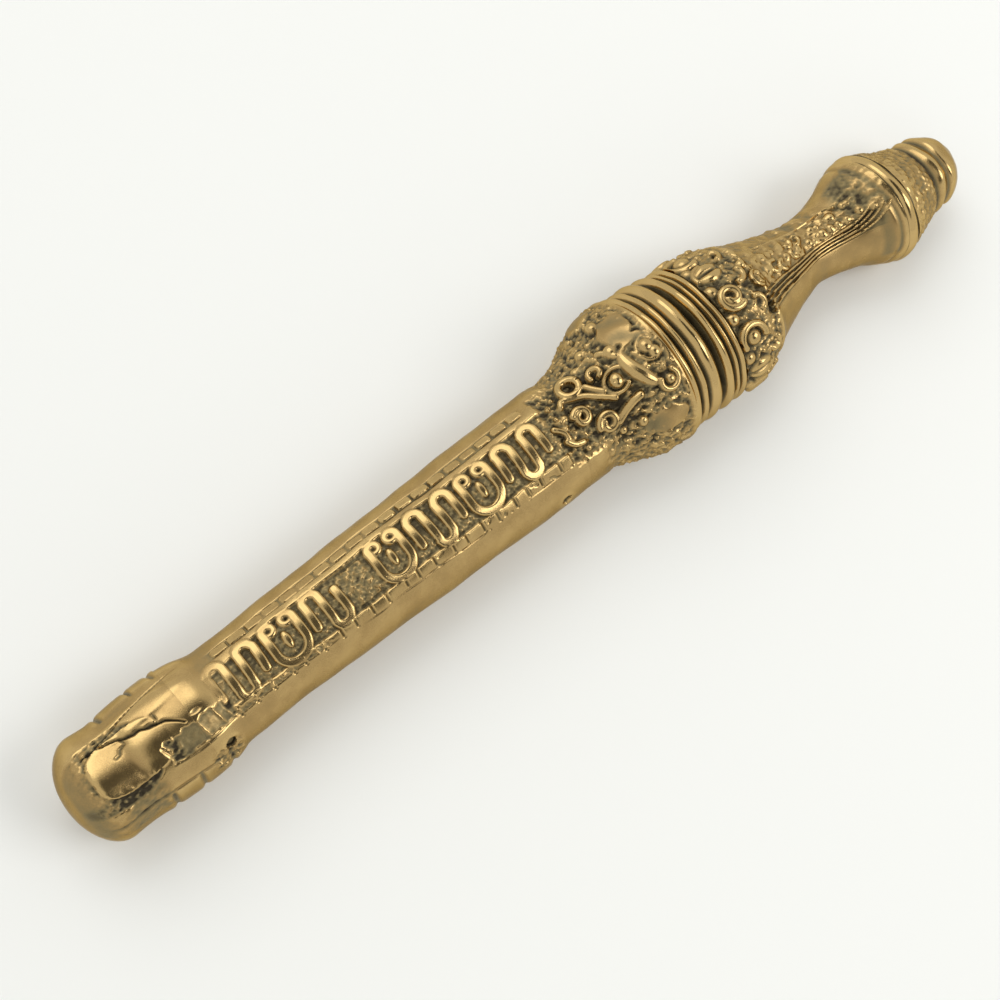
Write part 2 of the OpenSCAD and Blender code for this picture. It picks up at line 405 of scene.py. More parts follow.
bendLine = [
    # (station, sideways shift): the casting isn't quite straight
    (0, 0.0), (15, 0.0), (22, -0.1), (28, -0.2), (38, -0.24), (50, -0.55), (65, -0.55), (80, -0.75),
    (90, -0.9), (96, -1.2), (104, -1.2), (111, -0.7), (119, -0.7), (126, -0.9), (132, -1.0), (138, -0.6),
    (144, -0.25),
    (150, 0.15), (165, 0.3),
]


def throughPoints(points, x):
    px, py = np.array(points, float).T
    slope = np.gradient(py, px)
    x = np.clip(x, px[0], px[-1])
    i = np.clip(np.searchsorted(px, x) - 1, 0, len(px) - 2)
    width = px[i + 1] - px[i]
    t = (x - px[i]) / width
    start = (1 + 2 * t) * (1 - t) ** 2 * py[i] + t * (1 - t) ** 2 * width * slope[i]
    return start + t * t * (3 - 2 * t) * py[i + 1] + t * t * (t - 1) * width * slope[i + 1]


mouthParting = 104  # the station between the case's outline and the cap's


def plainRadius(station):
    station = np.asarray(station, float)
    domeLength = caseOutline[0][0]
    coneFoot, domeFoot = finialOutline[0][0], finialOutline[-1][0]
    dome = caseOutline[0][1] * np.sqrt(np.clip(1 - ((domeLength - station) / domeLength) ** 2, 0, 1))
    tip = finialOutline[-1][1] * np.sqrt(np.clip((tipEnd - station) / (tipEnd - domeFoot), 0, 1))
    return np.select(
        [station < domeLength, station < mouthParting, station < coneFoot, station < domeFoot],
        [dome, throughPoints(caseOutline, station), throughPoints(capOutline, station),
         throughPoints(finialOutline, station)], tip)


def bendAt(station):
    return throughPoints(bendLine, np.asarray(station, float))


def onCase(station, degrees, lift=0.0):
    # a point on the plain surface, in metres, before the casting's bend
    radius = float(plainRadius(station)) + lift
    angle = math.radians(degrees)
    x, z = radius * math.sin(angle), axisHeight + radius * math.cos(angle)
    return (x * mm, footEnd + station * mm, z * mm)


def waves(points, size, seed):
    # smooth unevenness of about the given size in mm, roughly -1 to 1, the same on every run
    rng = np.random.default_rng(seed)
    total = np.zeros(points.shape[:-1])
    for _ in range(18):
        direction = rng.normal(size=3)
        direction *= 2 * math.pi / (size * rng.uniform(0.7, 1.8) * np.linalg.norm(direction))
        total += np.sin(points @ direction + rng.uniform(0, 2 * math.pi))
    return total / 4.2


def softStep(x, low, high):
    t = np.clip((x - low) / (high - low), 0, 1)
    return t * t * (3 - 2 * t)


def window(x, low, high, edge):
    return softStep(x, low - edge / 2, low + edge / 2) * (1 - softStep(x, high - edge / 2, high + edge / 2))


def distanceTo(path, station, arc, radius):
    # distance in mm from each point of the surface to a path of (station, degrees)
    points = [(s, math.radians(d) * radius) for s, d in path]
    nearest = np.full(station.shape, 1e3)
    for (s0, u0), (s1, u1) in zip(points, points[1:]):
        along, across = s1 - s0, u1 - u0
        t = np.clip(((station - s0) * along + (arc - u0) * across) / (along ** 2 + across ** 2), 0, 1)
        nearest = np.minimum(nearest, np.hypot(station - s0 - t * along, arc - u0 - t * across))
    return nearest


def pad(station, arc, at, radius, halfLength, halfWidth, power=2.0):
    # 1 in the middle of a rounded patch at (station, degrees), 0 outside it
    middle = math.radians(at[1]) * radius
    reach = np.abs((station - at[0]) / halfLength) ** power + np.abs((arc - middle) / halfWidth) ** power
    return np.clip(1 - reach, 0, 1)


# Geometry Nodes: wax ornaments laid on the pattern before casting


def newTree(name, **inputs):
    tree = bpy.data.node_groups.new(name, "GeometryNodeTree")
    tree.interface.new_socket("Geometry", in_out="INPUT", socket_type="NodeSocketGeometry")
    tree.interface.new_socket("Geometry", in_out="OUTPUT", socket_type="NodeSocketGeometry")
    for label, (kind, value) in inputs.items():
        socket = tree.interface.new_socket(label, in_out="INPUT", socket_type="NodeSocket" + kind)
        socket.default_value = value
    return tree, tree.nodes.new("NodeGroupInput")


def endTree(tree, source, geometry, material):
    real = addNode(tree, "GeometryNodeRealizeInstances", {"Geometry": geometry})
    coated = addNode(tree, "GeometryNodeSetMaterial", {
        "Geometry": (real, "Geometry"), "Material": material})
    addNode(tree, "NodeGroupOutput", {"Geometry": (coated, "Geometry")})
    return tree


def grow(name, tree, mesh, **values):
    # the plain mesh a tree makes from a starting mesh
    holder = bpy.data.objects.new(name, mesh)
    bpy.context.scene.collection.objects.link(holder)
    modifier = holder.modifiers.new(name, "NODES")
    modifier.node_group = tree
    for item in tree.interface.items_tree:
        if item.item_type == "SOCKET" and item.in_out == "INPUT" and item.name in values:
            modifier[item.identifier] = values[item.name]
    view = bpy.context.evaluated_depsgraph_get()
    made = bpy.data.meshes.new_from_object(holder.evaluated_get(view), depsgraph=view)
    made.name = name
    bpy.data.objects.remove(holder)
    bpy.data.meshes.remove(mesh)
    return made


def threadTree():
    # round threads along every run of edges, as thick as their "thickness" attribute
    tree, source = newTree("waxThread", Sides=("Int", 10))
    runs = addNode(tree, "GeometryNodeMeshToCurve", {"Mesh": (source, "Geometry")})
    thickness = addNode(tree, "GeometryNodeInputNamedAttribute", {"Name": "thickness"}, data_type="FLOAT")
    circle = addNode(tree, "GeometryNodeCurvePrimitiveCircle", {
        "Resolution": (source, "Sides"), "Radius": 1.0})
    sized = addNode(tree, "GeometryNodeSetCurveRadius", {
        "Curve": (runs, "Curve"), "Radius": (thickness, "Attribute")})
    tube = addNode(tree, "GeometryNodeCurveToMesh", {
        "Curve": (sized, "Curve"), "Profile Curve": (circle, "Curve"), "Scale": (thickness, "Attribute"),
        "Fill Caps": True})
    return endTree(tree, source, (tube, "Mesh"), castBrass)


def beadTree():
    # flattened beads on every vertex, sized and faced by its attributes
    tree, source = newTree("waxBeads", Flatness=("Float", 0.7))
    size = addNode(tree, "GeometryNodeInputNamedAttribute", {"Name": "thickness"}, data_type="FLOAT")
    facing = addNode(tree, "GeometryNodeInputNamedAttribute", {"Name": "facing"}, data_type="FLOAT_VECTOR")
    ball = addNode(tree, "GeometryNodeMeshIcoSphere", {"Radius": 1.0, "Subdivisions": 3})
    flat = addNode(tree, "ShaderNodeMath", {
        0: (size, "Attribute"), 1: (source, "Flatness")}, operation="MULTIPLY")
    scale = addNode(tree, "ShaderNodeCombineXYZ", {
        "X": (size, "Attribute"), "Y": (size, "Attribute"), "Z": (flat, "Value")})
    turn = addNode(tree, "FunctionNodeAlignRotationToVector", {"Vector": (facing, "Attribute")}, axis="Z")
    placed = addNode(tree, "GeometryNodeInstanceOnPoints", {
        "Points": (source, "Geometry"), "Instance": (ball, "Mesh"), "Rotation": (turn, "Rotation"),
        "Scale": (scale, "Vector")})
    return endTree(tree, source, (placed, "Instances"), castBrass)


def granuleTree():
    # sand-sized granules scattered over a patch
    tree, source = newTree("granules", Spacing=("Float", 0.0009), Smallest=("Float", 0.0002),
                           Largest=("Float", 0.0005), Seed=("Int", 1))
    spread = addNode(tree, "GeometryNodeDistributePointsOnFaces", {
        "Mesh": (source, "Geometry"), "Distance Min": (source, "Spacing"), "Density Max": 4e6,
        "Seed": (source, "Seed")}, distribute_method="POISSON")
    size = addNode(tree, "FunctionNodeRandomValue", {
        2: (source, "Smallest"), 3: (source, "Largest"), 8: (source, "Seed")}, data_type="FLOAT")
    ball = addNode(tree, "GeometryNodeMeshIcoSphere", {"Radius": 1.0, "Subdivisions": 1})
    placed = addNode(tree, "GeometryNodeInstanceOnPoints", {
        "Points": (spread, "Points"), "Instance": (ball, "Mesh"), "Scale": (size, 1)})
    return endTree(tree, source, (placed, "Instances"), castBrass)


def brickTree():
    # a row of rounded bricks along a run of edges
    tree, source = newTree("brickRow", Pitch=("Float", 0.0027), Facing=("Vector", (0, 0, 1)),
                           Brick=("Vector", (0.002, 0.0024, 0.0006)), Seed=("Int", 1))
    runs = addNode(tree, "GeometryNodeMeshToCurve", {"Mesh": (source, "Geometry")})
    steps = addNode(tree, "GeometryNodeResampleCurve", {
        "Curve": (runs, "Curve"), "Length": (source, "Pitch")}, mode="LENGTH")
    cube = addNode(tree, "GeometryNodeMeshCube", {"Size": (source, "Brick")})
    pillow = addNode(tree, "GeometryNodeSubdivisionSurface", {
        "Mesh": (cube, "Mesh"), "Level": 2, "Edge Crease": 0.82})
    turn = addNode(tree, "FunctionNodeAlignRotationToVector", {
        "Vector": (source, "Facing")}, axis="Z", pivot_axis="Y")
    size = addNode(tree, "FunctionNodeRandomValue", {
        0: (0.93, 0.86, 0.95), 1: (1.0, 1.0, 1.05), 8: (source, "Seed")}, data_type="FLOAT_VECTOR")
    placed = addNode(tree, "GeometryNodeInstanceOnPoints", {
        "Points": (steps, "Curve"), "Instance": (pillow, "Mesh"), "Rotation": (turn, "Rotation"),
        "Scale": (size, 0)})
    return endTree(tree, source, (placed, "Instances"), castBrass)


def ringTree(material):
    # a band with the section it is given, swept round a circle about the long axis
    tree, source = newTree("ringBand", Radius=("Float", 0.009), Around=("Int", 320),
                           Wander=("Float", 0.0001))
    section = addNode(tree, "GeometryNodeMeshToCurve", {"Mesh": (source, "Geometry")})
    circle = addNode(tree, "GeometryNodeCurvePrimitiveCircle", {
        "Resolution": (source, "Around"), "Radius": (source, "Radius")})
    band = addNode(tree, "GeometryNodeCurveToMesh", {
        "Curve": (circle, "Curve"), "Profile Curve": (section, "Curve")})
    upright = addNode(tree, "GeometryNodeTransform", {
        "Geometry": (band, "Mesh"), "Rotation": (math.pi / 2, 0.0, 0.0)})
    place = addNode(tree, "GeometryNodeInputPosition")
    uneven = addNode(tree, "ShaderNodeTexNoise", {
        "Vector": (place, "Position"), "Scale": 130.0, "Detail": 1.5})
    centred = addNode(tree, "ShaderNodeVectorMath", {
        0: (uneven, "Color"), 1: (0.5, 0.5, 0.5)}, operation="SUBTRACT")
    amount = addNode(tree, "ShaderNodeVectorMath", {
        0: (centred, "Vector"), "Scale": (source, "Wander")}, operation="SCALE")
    moved = addNode(tree, "GeometryNodeSetPosition", {
        "Geometry": (upright, "Geometry"), "Offset": (amount, "Vector")})
    return endTree(tree, source, (moved, "Geometry"), material)


threads = []  # each a run of (station, across, lift, thickness), in mm
beads = []  # each one (station, across, lift, size)


def placeOn(station, across, lift):
    return onCase(station, math.degrees(across / float(plainRadius(station))), lift)


def taper(along, length, thickness):
    # rounds off both ends of a thread
    near = np.clip(np.minimum(along, length - along) / thickness, 0, 1)
    return 0.25 + 0.75 * np.sqrt(1 - (1 - near) ** 2)


def thread(points, thickness, lift):
    # a run through given (station, across) points, smoothed into a curve
    given = np.array(points, float)
    steps = np.concatenate([[0], np.cumsum(np.hypot(*np.diff(given, axis=0).T))])
    fine = np.linspace(0, steps[-1], max(4, int(steps[-1] / 0.22)))
    across = throughPoints(list(zip(steps, given[:, 1])), fine)
    station = throughPoints(list(zip(steps, given[:, 0])), fine)
    size = thickness * taper(fine, steps[-1], thickness)
    threads.append([(s, a, lift, t) for s, a, t in zip(station, across, size)])


def leaf(points, thickness, lift):
    # a thread that swells in the middle
    thread(points, thickness, lift)
    run = threads.pop()
    last = len(run) - 1
    threads.append([(s, a, lift, thickness * (0.25 + 0.75 * math.sin(math.pi * i / last) ** 0.5))
                    for i, (s, a, lift, t) in enumerate(run)])


def curl(station, across, radius, start, end, thickness, lift, shrink=0.0):
    # part of a circle, or of a spiral when it shrinks
    # angles are in degrees, 0 towards the cap and 90 towards the pins
    steps = max(6, int(abs(end - start) * radius / 14))
    run = []
    for i in range(steps + 1):
        part = i / steps
        angle = math.radians(start + (end - start) * part)
        reach = radius * (1 - shrink * part)
        size = thickness
        if abs(end - start) != 360:
            length = math.radians(abs(end - start)) * radius
            size *= float(taper(part * length, length, thickness))
        run.append((station + reach * math.cos(angle), across + reach * math.sin(angle), lift, size))
    threads.append(run)


def meander(start, legs, pitch, low, high, thickness, lift, firstUp=True):
    # legs across the panel joined by round turns at alternate ends
    turn = pitch / 2
    run = []
    for i in range(legs):
        s = start + i * pitch
        ends = (high - turn, low + turn) if (i % 2 == 0) == firstUp else (low + turn, high - turn)
        lean = 0.25 * math.sin(i * 2.4 + start)
        for part in np.linspace(0, 1, 12):
            run.append((s + lean * (part - 0.5), ends[0] + (ends[1] - ends[0]) * part))
        if i < legs - 1:
            side = -1 if ends[1] < ends[0] else 1
            for angle in np.linspace(0.2, math.pi - 0.2, 7):
                run.append((s + turn - turn * math.cos(angle), ends[1] + side * turn * math.sin(angle)))
    run = np.array(run)
    steps = np.concatenate([[0], np.cumsum(np.hypot(*np.diff(run, axis=0).T))])
    size = thickness * taper(steps, steps[-1], thickness)
    threads.append([(s, a, lift, t) for (s, a), t in zip(run, size)])


def dataMesh(name, runs, edges):
    # threads or beads as vertices with their thickness and facing kept as attributes
    places, joins, sizes, facings = [], [], [], []
    for run in runs:
        for i, (station, across, lift, size) in enumerate(run):
            if edges and i:
                joins.append((len(places) - 1, len(places)))
            angle = across / float(plainRadius(station))
            places.append(placeOn(station, across, lift))
            sizes.append(size * mm)
            facings.append((math.sin(angle), 0.0, math.cos(angle)))
    mesh = newMesh(name, places, joins, thickness=sizes)
    mesh.attributes.new("facing", "FLOAT_VECTOR", "POINT").data.foreach_set("vector", np.ravel(facings))
    return mesh


def patchMesh(name, stations, degrees, lift, steps=24):
    rows = [[onCase(s, d, lift) for d in np.linspace(*degrees, steps)]
            for s in np.linspace(*stations, steps)]
    faces = [(i * steps + j, i * steps + j + 1, (i + 1) * steps + j + 1, (i + 1) * steps + j)
             for i in range(steps - 1) for j in range(steps - 1)]
    return newMesh(name, [place for row in rows for place in row], faces=faces)


# the running meander of the panel, with a pair of facing volutes round a bud at intervals
panelMotif = {
    "thickness": 0.72, "lift": -0.46, "low": -3.1, "high": 3.5, "pitch": 2.35,
    "meanders": ((22.9, 4), (38.2, 3), (55.8, 4), (71.1, 4)),  # (first leg, legs)
    "pairs": (34.1, 51.65, 66.95), "pairReach": 2.35, "volute": 0.95,
}


def volutePair(middle, motif):
    # a wide round turn whose two legs wind inwards at their ends, drawn as one half and its mirror image
    t, lift, low, high = (motif[key] for key in ("thickness", "lift", "low", "high"))
    reach, eye = motif["pairReach"], motif["volute"]
    half = []
    for angle in np.radians(np.linspace(90, 4, 14)):
        half.append((reach * math.cos(angle), high - reach + reach * math.sin(angle), t))
    half += [(reach, across, t) for across in np.linspace(high - reach, low + eye + 0.1, 12)]
    for part in np.linspace(0, 1, 30):
        angle = math.radians(-320 * part)
        size = eye * (1 - 0.38 * part)
        half.append((reach - eye + size * math.cos(angle), low + eye + size * math.sin(angle),
                     t * (1 - 0.4 * part)))
    run = [(middle - s, a, lift, size) for s, a, size in half[:0:-1]]
    threads.append(run + [(middle + s, a, lift, size) for s, a, size in half])
    leaf([(middle, -1.1), (middle, 0.2), (middle, 1.7)], t * 0.9, lift)


def layPanelMotif(motif):
    for start, legs in motif["meanders"]:
        meander(start, legs, motif["pitch"], motif["low"], motif["high"], motif["thickness"], motif["lift"])
    for middle in motif["pairs"]:
        volutePair(middle, motif)


# scrolls, rings and buds round the collar, on a roughened ground
collarMotif = {
    "thickness": 0.55, "lift": -0.16,
    "granules": [  # (station, across, size)
        (82.6, -0.4, 0.6), (88.6, -5.4, 0.7), (91.8, 7.6, 0.8), (83.3, 5.3, 0.5),
        (90.8, -7.2, 0.8), (94.6, -9.6, 1.0), (89.0, 6.6, 0.6), (86.4, 8.4, 0.7)],
}


def layCollarMotif(motif):
    t, lift = motif["thickness"], motif["lift"]
    # a ring with a hole, and the stems that leave it
    curl(86.1, -3.7, 1.45, 0, 360, t * 1.1, lift + 0.1)
    stem = [(83.0, -1.6), (83.7, -2.6), (85.2, -2.1), (86.8, -1.3), (88.4, 0.2), (90.4, 2.2)]
    thread(stem, t * 0.9, lift)
    thread([(87.6, -2.6), (88.4, -1.2), (89.6, 0.4)], t * 0.9, lift)
    # two spirals, and buds between them
    curl(84.7, 0.9, 1.35, -170, 300, t * 1.05, lift, shrink=0.6)
    curl(87.5, 3.9, 1.5, -200, 260, t * 1.1, lift, shrink=0.62)
    thread([(88.4, 5.0), (90.0, 4.3), (91.8, 3.9), (93.4, 4.0)], t * 1.2, lift - 0.1)
    curl(89.9, -2.8, 0.9, -230, 100, t * 0.85, lift, shrink=0.2)
    # a round bud in a broken ring
    curl(91.5, 0.1, 1.75, 40, 330, t * 0.62, lift - 0.12)
    beads.append((91.5, 0.1, lift - 0.3, 1.2))
    beads.append((93.4, -3.8, lift - 0.35, 1.05))
    thread([(91.6, -5.0), (92.4, -4.4), (92.9, -3.2), (93.7, -2.4)], t * 0.8, lift - 0.1)
    # the broad smooth leaf
    leaf([(94.3, -3.2), (93.9, -1.3), (94.1, 0.4), (94.8, 2.4), (96.0, 4.8)], t * 2.4, lift - 0.75)
    # an oval ring round a split bud
    curl(97.6, -0.5, 1.85, 0, 360, t * 0.55, lift - 0.2)
    beads.append((97.3, -0.9, lift - 0.3, 1.15))
    beads.append((97.8, 0.5, lift - 0.25, 1.0))
    curl(97.2, 5.0, 1.55, -60, 230, t * 0.8, lift, shrink=0.2)
    beads.append((97.5, 5.1, lift - 0.2, 0.8))
    thread([(80.6, 2.0), (81.6, 3.4), (83.4, 4.0)], t * 0.9, lift - 0.15)
    thread([(80.0, -0.4), (81.3, 1.2), (81.2, 3.6)], t * 0.8, lift - 0.2)
    for station, across, size in motif["granules"]:
        beads.append((station, across, lift - 0.35, size))


# curled petals round the crown: spirals, buds in broken rings and smooth leaves by turns
crownMotif = {"station": 112.7, "count": 12, "radius": 2.0, "thickness": 0.62, "lift": -0.42}


def layCrown(motif):
    rng = np.random.default_rng(5)
    radius = float(plainRadius(motif["station"]))
    t, lift = motif["thickness"], motif["lift"]
    for i in range(motif["count"]):
        across = math.radians(-176 + 360 / motif["count"] * (i + rng.uniform(-0.15, 0.15))) * radius
        station = motif["station"] + rng.uniform(-0.4, 0.4)
        size = motif["radius"] * rng.uniform(0.92, 1.15)
        turn = rng.uniform(-70, 70) + (180 if i % 2 else 0)
        if i % 3 == 0:
            curl(station, across, size, turn, turn + 520, t, lift, shrink=0.74)
        elif i % 3 == 1:
            curl(station, across, size, turn, turn + rng.uniform(240, 290), t * 0.9, lift)
            beads.append((station, across, lift - 0.4, size * 0.6))
        else:
            for side in (-1, 1):
                leaf([(station - 1.6, across + side * 0.4), (station + 0.1, across + side * 1.0),
                      (station + 2.3, across + side * 0.6)], t * 1.5, lift - 0.4)
            curl(station + 0.2, across, size * 1.02, turn, turn + 130, t * 0.7, lift - 0.1)
        small = across + math.radians(180 / motif["count"]) * radius
        turn = rng.uniform(-40, 40) - 90
        curl(motif["station"] + 3.4, small, 1.15, turn, turn + rng.uniform(180, 260), t * 0.8, lift - 0.1)
        beads.append((motif["station"] - 1.6, small, lift - 0.4, 1.05))


# fine lines and small rosettes up the grip
gripMotif = {"lines": (15.5, 20.5, 25.5, 31.0), "farLines": (-31.0,), "thickness": 0.17}


def layGrip(motif):
    rng = np.random.default_rng(11)

    def line(degrees, first, last, curlIn, thickness):
        points = []
        for station in np.linspace(first, last, 24):
            close = max(0.0, (station - 136.0) / (last - 136.0))
            angle = math.radians(degrees * (1 - curlIn * close ** 3) + 0.8 * math.sin(station * 0.5))
            points.append((station, angle * float(plainRadius(station))))
        thread(points, thickness, 0.0)

    for i, degrees in enumerate(motif["lines"]):
        line(degrees, 117.8, 142.4 + 1.0 * i, 0.6, motif["thickness"])
    for i, degrees in enumerate(motif["farLines"]):
        line(degrees, 118.5, 139.0 + i, 0.3, motif["thickness"] * 0.8)
    for station in np.arange(118.8, 142.5, 1.6):
        radius = float(plainRadius(station))
        for side in (-1, 1):
            across = math.radians(-7 + side * 9.5 + rng.uniform(-3, 3)) * radius
            size = rng.uniform(0.55, 1.0) * min(1.0, radius / 7.0)
            if rng.uniform() < 0.35 and station < 131:
                turn = rng.uniform(0, 360)
                curl(station, across, size * 1.25, turn, turn + rng.uniform(200, 300), 0.34, -0.12)
            else:
                beads.append((station + rng.uniform(-0.6, 0.6), across, -0.25 - 0.3 * size, size))


layPanelMotif(panelMotif)
layCollarMotif(collarMotif)
layCrown(crownMotif)
layGrip(gripMotif)

borderRow = {
    "degrees": -39.0, "stations": (26.5, 77.5), "lift": -0.34,
    "pitch": 2.7, "brick": (1.35, 2.66, 0.72), "seed": 7,
}

# sand-sized granules under the scrolls: the patch's (low, high) stations and degrees, its lift and seed
granulePatches = {
    "collarGranules": {"stations": (81.5, 98.5), "degrees": (-110, 110), "lift": -0.5,
                       "spacing": 1.5, "sizes": (0.15, 0.4), "seed": 3},
    "crownGranules": {"stations": (110.5, 118.5), "degrees": (-140, 140), "lift": -0.75,
                      "spacing": 1.5, "sizes": (0.2, 0.45), "seed": 8},
}


def borderMesh(row):
    stations = np.linspace(*row["stations"], 40)
    places = [onCase(s, row["degrees"] + 0.8 * math.sin(s * 0.31), row["lift"]) for s in stations]
    return newMesh("borderLine", places, [(i, i + 1) for i in range(len(places) - 1)])


def allOrnaments():
    angle = math.radians(borderRow["degrees"])
    granules = granuleTree()
    pieces = [
        grow("threads", threadTree(), dataMesh("threadRuns", threads, True), Sides=12),
        grow("beads", beadTree(), dataMesh("beadSpots", [[b] for b in beads], False), Flatness=0.75),
        grow("bricks", brickTree(), borderMesh(borderRow), Pitch=borderRow["pitch"] * mm,
             Facing=(math.sin(angle), 0.0, math.cos(angle)), Brick=[v * mm for v in borderRow["brick"]],
             Seed=borderRow["seed"]),
    ]
    for name, patch in granulePatches.items():
        ground = patchMesh(name + "Patch", patch["stations"], patch["degrees"], patch["lift"])
        smallest, largest = patch["sizes"]
        pieces.append(grow(name, granules, ground, Spacing=patch["spacing"] * mm,
                           Smallest=smallest * mm, Largest=largest * mm, Seed=patch["seed"]))
    places, faces = [], []
    for mesh in pieces:
        faces += [tuple(v + len(places) for v in polygon.vertices) for polygon in mesh.polygons]
        places += [Vector(place) for place in vertexPlaces(mesh)]
        print("  ", mesh.name, len(mesh.vertices), "points")
        bpy.data.meshes.remove(mesh)
    return BVHTree.FromPolygons(places, faces)


ornaments = allOrnaments()
print("stage: ornaments laid on the pattern")

# relief cut into the surface, in mm


def groove(distance, width, depth):
    return -depth * np.exp(-(distance / width) ** 2)


def ticks(station, first, pitch, width, seed):
    # 1 on each of a row of cross cuts a little unevenly spaced, 0 between them
    index = np.round((station - first) / pitch)
    jitter = 0.18 * pitch * np.sin(index * 12.9898 + seed) * np.cos(index * 4.1 + seed)
    return np.exp(-((station - first - index * pitch - jitter) / width) ** 2)


def area(station, degrees, along, around):
    # 1 inside a four-sided area, 0 outside; along and around are (low, high, width of the soft edge)
    return window(station, *along) * window(degrees, *around)


# the foot: a raised tongue in a rough sunk border, a crack, a smooth wedge and lobed flanks
footWork = {
    # rounded patches: (station, degrees), half length, half width, squareness
    "border": ((7.0, 2), 6.2, 5.2, 3.0),
    "tongue": ((9.6, 1.5), 5.6, 3.75, 3.2),
    "wedge": ((13.0, -29), 8.5, 1.9, 2.0),
    # paths of (station, degrees)
    "saddle": [(9.9, -19), (9.3, -8), (9.7, 6), (10.1, 24)],
    "notch": [(8.3, -5), (8.9, -6), (9.2, -10), (10.2, -12), (9.9, -19)],
    "crack": [(4.8, -26), (7.0, -24.5), (8.6, -22.5), (10.6, -17), (11.6, -14.8), (13.4, -12), (14.4, -8.6),
              (15.6, -6.2), (16.3, -2.6), (17.5, 6)],
    "branch": [(14.9, -17), (14.9, -12), (14.5, -8)],
    "wedgeLine": [(7.0, -29), (12.0, -36), (19.5, -46), (21.0, -48)],
    "hollowEdge": [(13.3, 14), (14.2, 32), (17.0, 35), (22.8, 34)],
    "flankLine": [(3.0, 58), (9.5, 56), (14, 58), (19.5, 63)],
    # areas: (low, high, soft edge) along, in mm, and around, in degrees
    "lowLobes": ((10.2, 22.5, 1.4), (60, 118, 8)),
    "highLobes": ((8.4, 22.0, 1.6), (-118, -54, 8)),
    "scar": ((18.0, 22.0, 1.6), (53, 80, 8)),
    "worn": ((1.0, 11.5, 2.0), (24, 75, 12)),
    # cross cuts and bars: station, or (station, width)
    "bars": (18.9, 21.4, 22.6),
    "lowCuts": ((11.4, 0.4), (15.6, 0.36), (20.2, 0.42)),
    "highCuts": ((8.9, 0.4), (13.8, 0.3), (17.3, 0.4)),
    # depths and heights
    "borderDepth": 0.26, "tongueHeight": 0.16, "saddleDepth": 0.13, "notchDepth": 0.22, "crackWidth": 0.11,
    "crackDepth": 0.42, "branchDepth": 0.2, "lineDepth": 0.26, "wedgeHeight": 0.16, "barHeight": 0.16,
    "edgeDepth": 0.16, "dipDepth": 0.22, "lowLobeHeight": 0.08, "highLobeHeight": 0.16, "lowCutDepth": 0.34,
    "highCutDepth": 0.4,
}


def footRelief(station, degrees, radius, points):
    work = footWork
    arc = np.radians(degrees) * radius
    fine = waves(points, 0.9, 21) * 0.06 + waves(points, 0.45, 22) * 0.035

    def patch(name):
        at, halfLength, halfWidth, squareness = work[name]
        return pad(station, arc, at, radius, halfLength, halfWidth, squareness)

    def cut(path, width, depth):
        return groove(distanceTo(work[path], station, arc, radius), width, work[depth])

    # the raised tongue in a rough sunk border, with a saddle across it
    border = softStep(patch("border"), 0.0, 0.25) * (1 - softStep(station, 11.5, 14.0))
    tongue = softStep(patch("tongue"), 0.0, 0.16)
    tongue *= 1 - softStep(station, 12.6, 15.2) * 0.7
    delta = border * (1 - tongue) * (fine * 1.5 - work["borderDepth"]) + tongue * work["tongueHeight"]
    delta += cut("saddle", 0.8, "saddleDepth")
    delta += cut("notch", 0.15, "notchDepth")
    # the crack along the tongue, with its branch, and the line above the smooth wedge
    crackGap = distanceTo(work["crack"], station, arc + waves(points, 1.6, 24) * 0.12, radius)
    widening = softStep(station, 9.5, 12.5) * (1 - softStep(station, 14.0, 16.5))
    delta += groove(crackGap, work["crackWidth"] + 0.08 * widening, work["crackDepth"])
    delta += cut("branch", 0.12, "branchDepth")
    delta += cut("wedgeLine", 0.13, "lineDepth") * (1 - 0.8 * softStep(station, 15.0, 21.0))
    delta += work["wedgeHeight"] * softStep(patch("wedge"), 0.0, 0.7)
    # a broken hollow beyond the tongue that opens into the panel
    edge = 1.2 * np.sin(station * 2.1) + 0.8 * np.sin(station * 4.7 + 1)
    sunk = window(station, 13.4 + 0.5 * np.cos(np.radians(degrees - 22) * 6), 23.5, 0.7)
    sunk = sunk * window(degrees, 11 + edge, 32.5 + edge * 0.5, 3.0)
    dark = sunk * (1 - softStep(station, 14.6, 16.0))
    delta += sunk * (fine * 0.3 - 0.26) + dark * (fine * 2.0 + 0.04)
    for at in work["bars"]:
        delta += sunk * work["barHeight"] * np.exp(-((station - at - 0.03 * (degrees - 22)) / 0.2) ** 2)
    delta += cut("hollowEdge", 0.18, "edgeDepth")
    dip = np.exp(-((station - 19.3) / 0.6) ** 2 - ((arc - 0.5) / 0.22) ** 2)
    delta -= work["dipDepth"] * dip
    # lobes along both flanks, split by notches
    low = area(station, degrees, *work["lowLobes"])
    high = area(station, degrees, *work["highLobes"])
    delta += low * work["lowLobeHeight"] + high * work["highLobeHeight"]
    for at, width in work["lowCuts"]:
        delta += low * groove(station - at, width, work["lowCutDepth"])
    for at, width in work["highCuts"]:
        delta += high * groove(station - at - 0.02 * (degrees + 85), width, work["highCutDepth"])
    delta += cut("flankLine", 0.22, "edgeDepth")
    # a scar beside the pin and the worn flank of the tongue
    scar = area(station, degrees, *work["scar"])
    delta += scar * (fine * 2.4 - 0.12)
    worn = area(station, degrees, *work["worn"])
    delta += worn * (waves(points, 1.4, 23) * 0.05 + fine * 0.5)
    stainAndShade = sunk * 0.26 + dark * 0.1 + border * (1 - tongue) * 0.2 + worn * 0.26 + scar * 0.2 + dip * 0.2
    stainAndShade += np.exp(-(crackGap / 0.3) ** 2) * 0.2
    return delta * softStep(station, 0.8, 3.0), stainAndShade


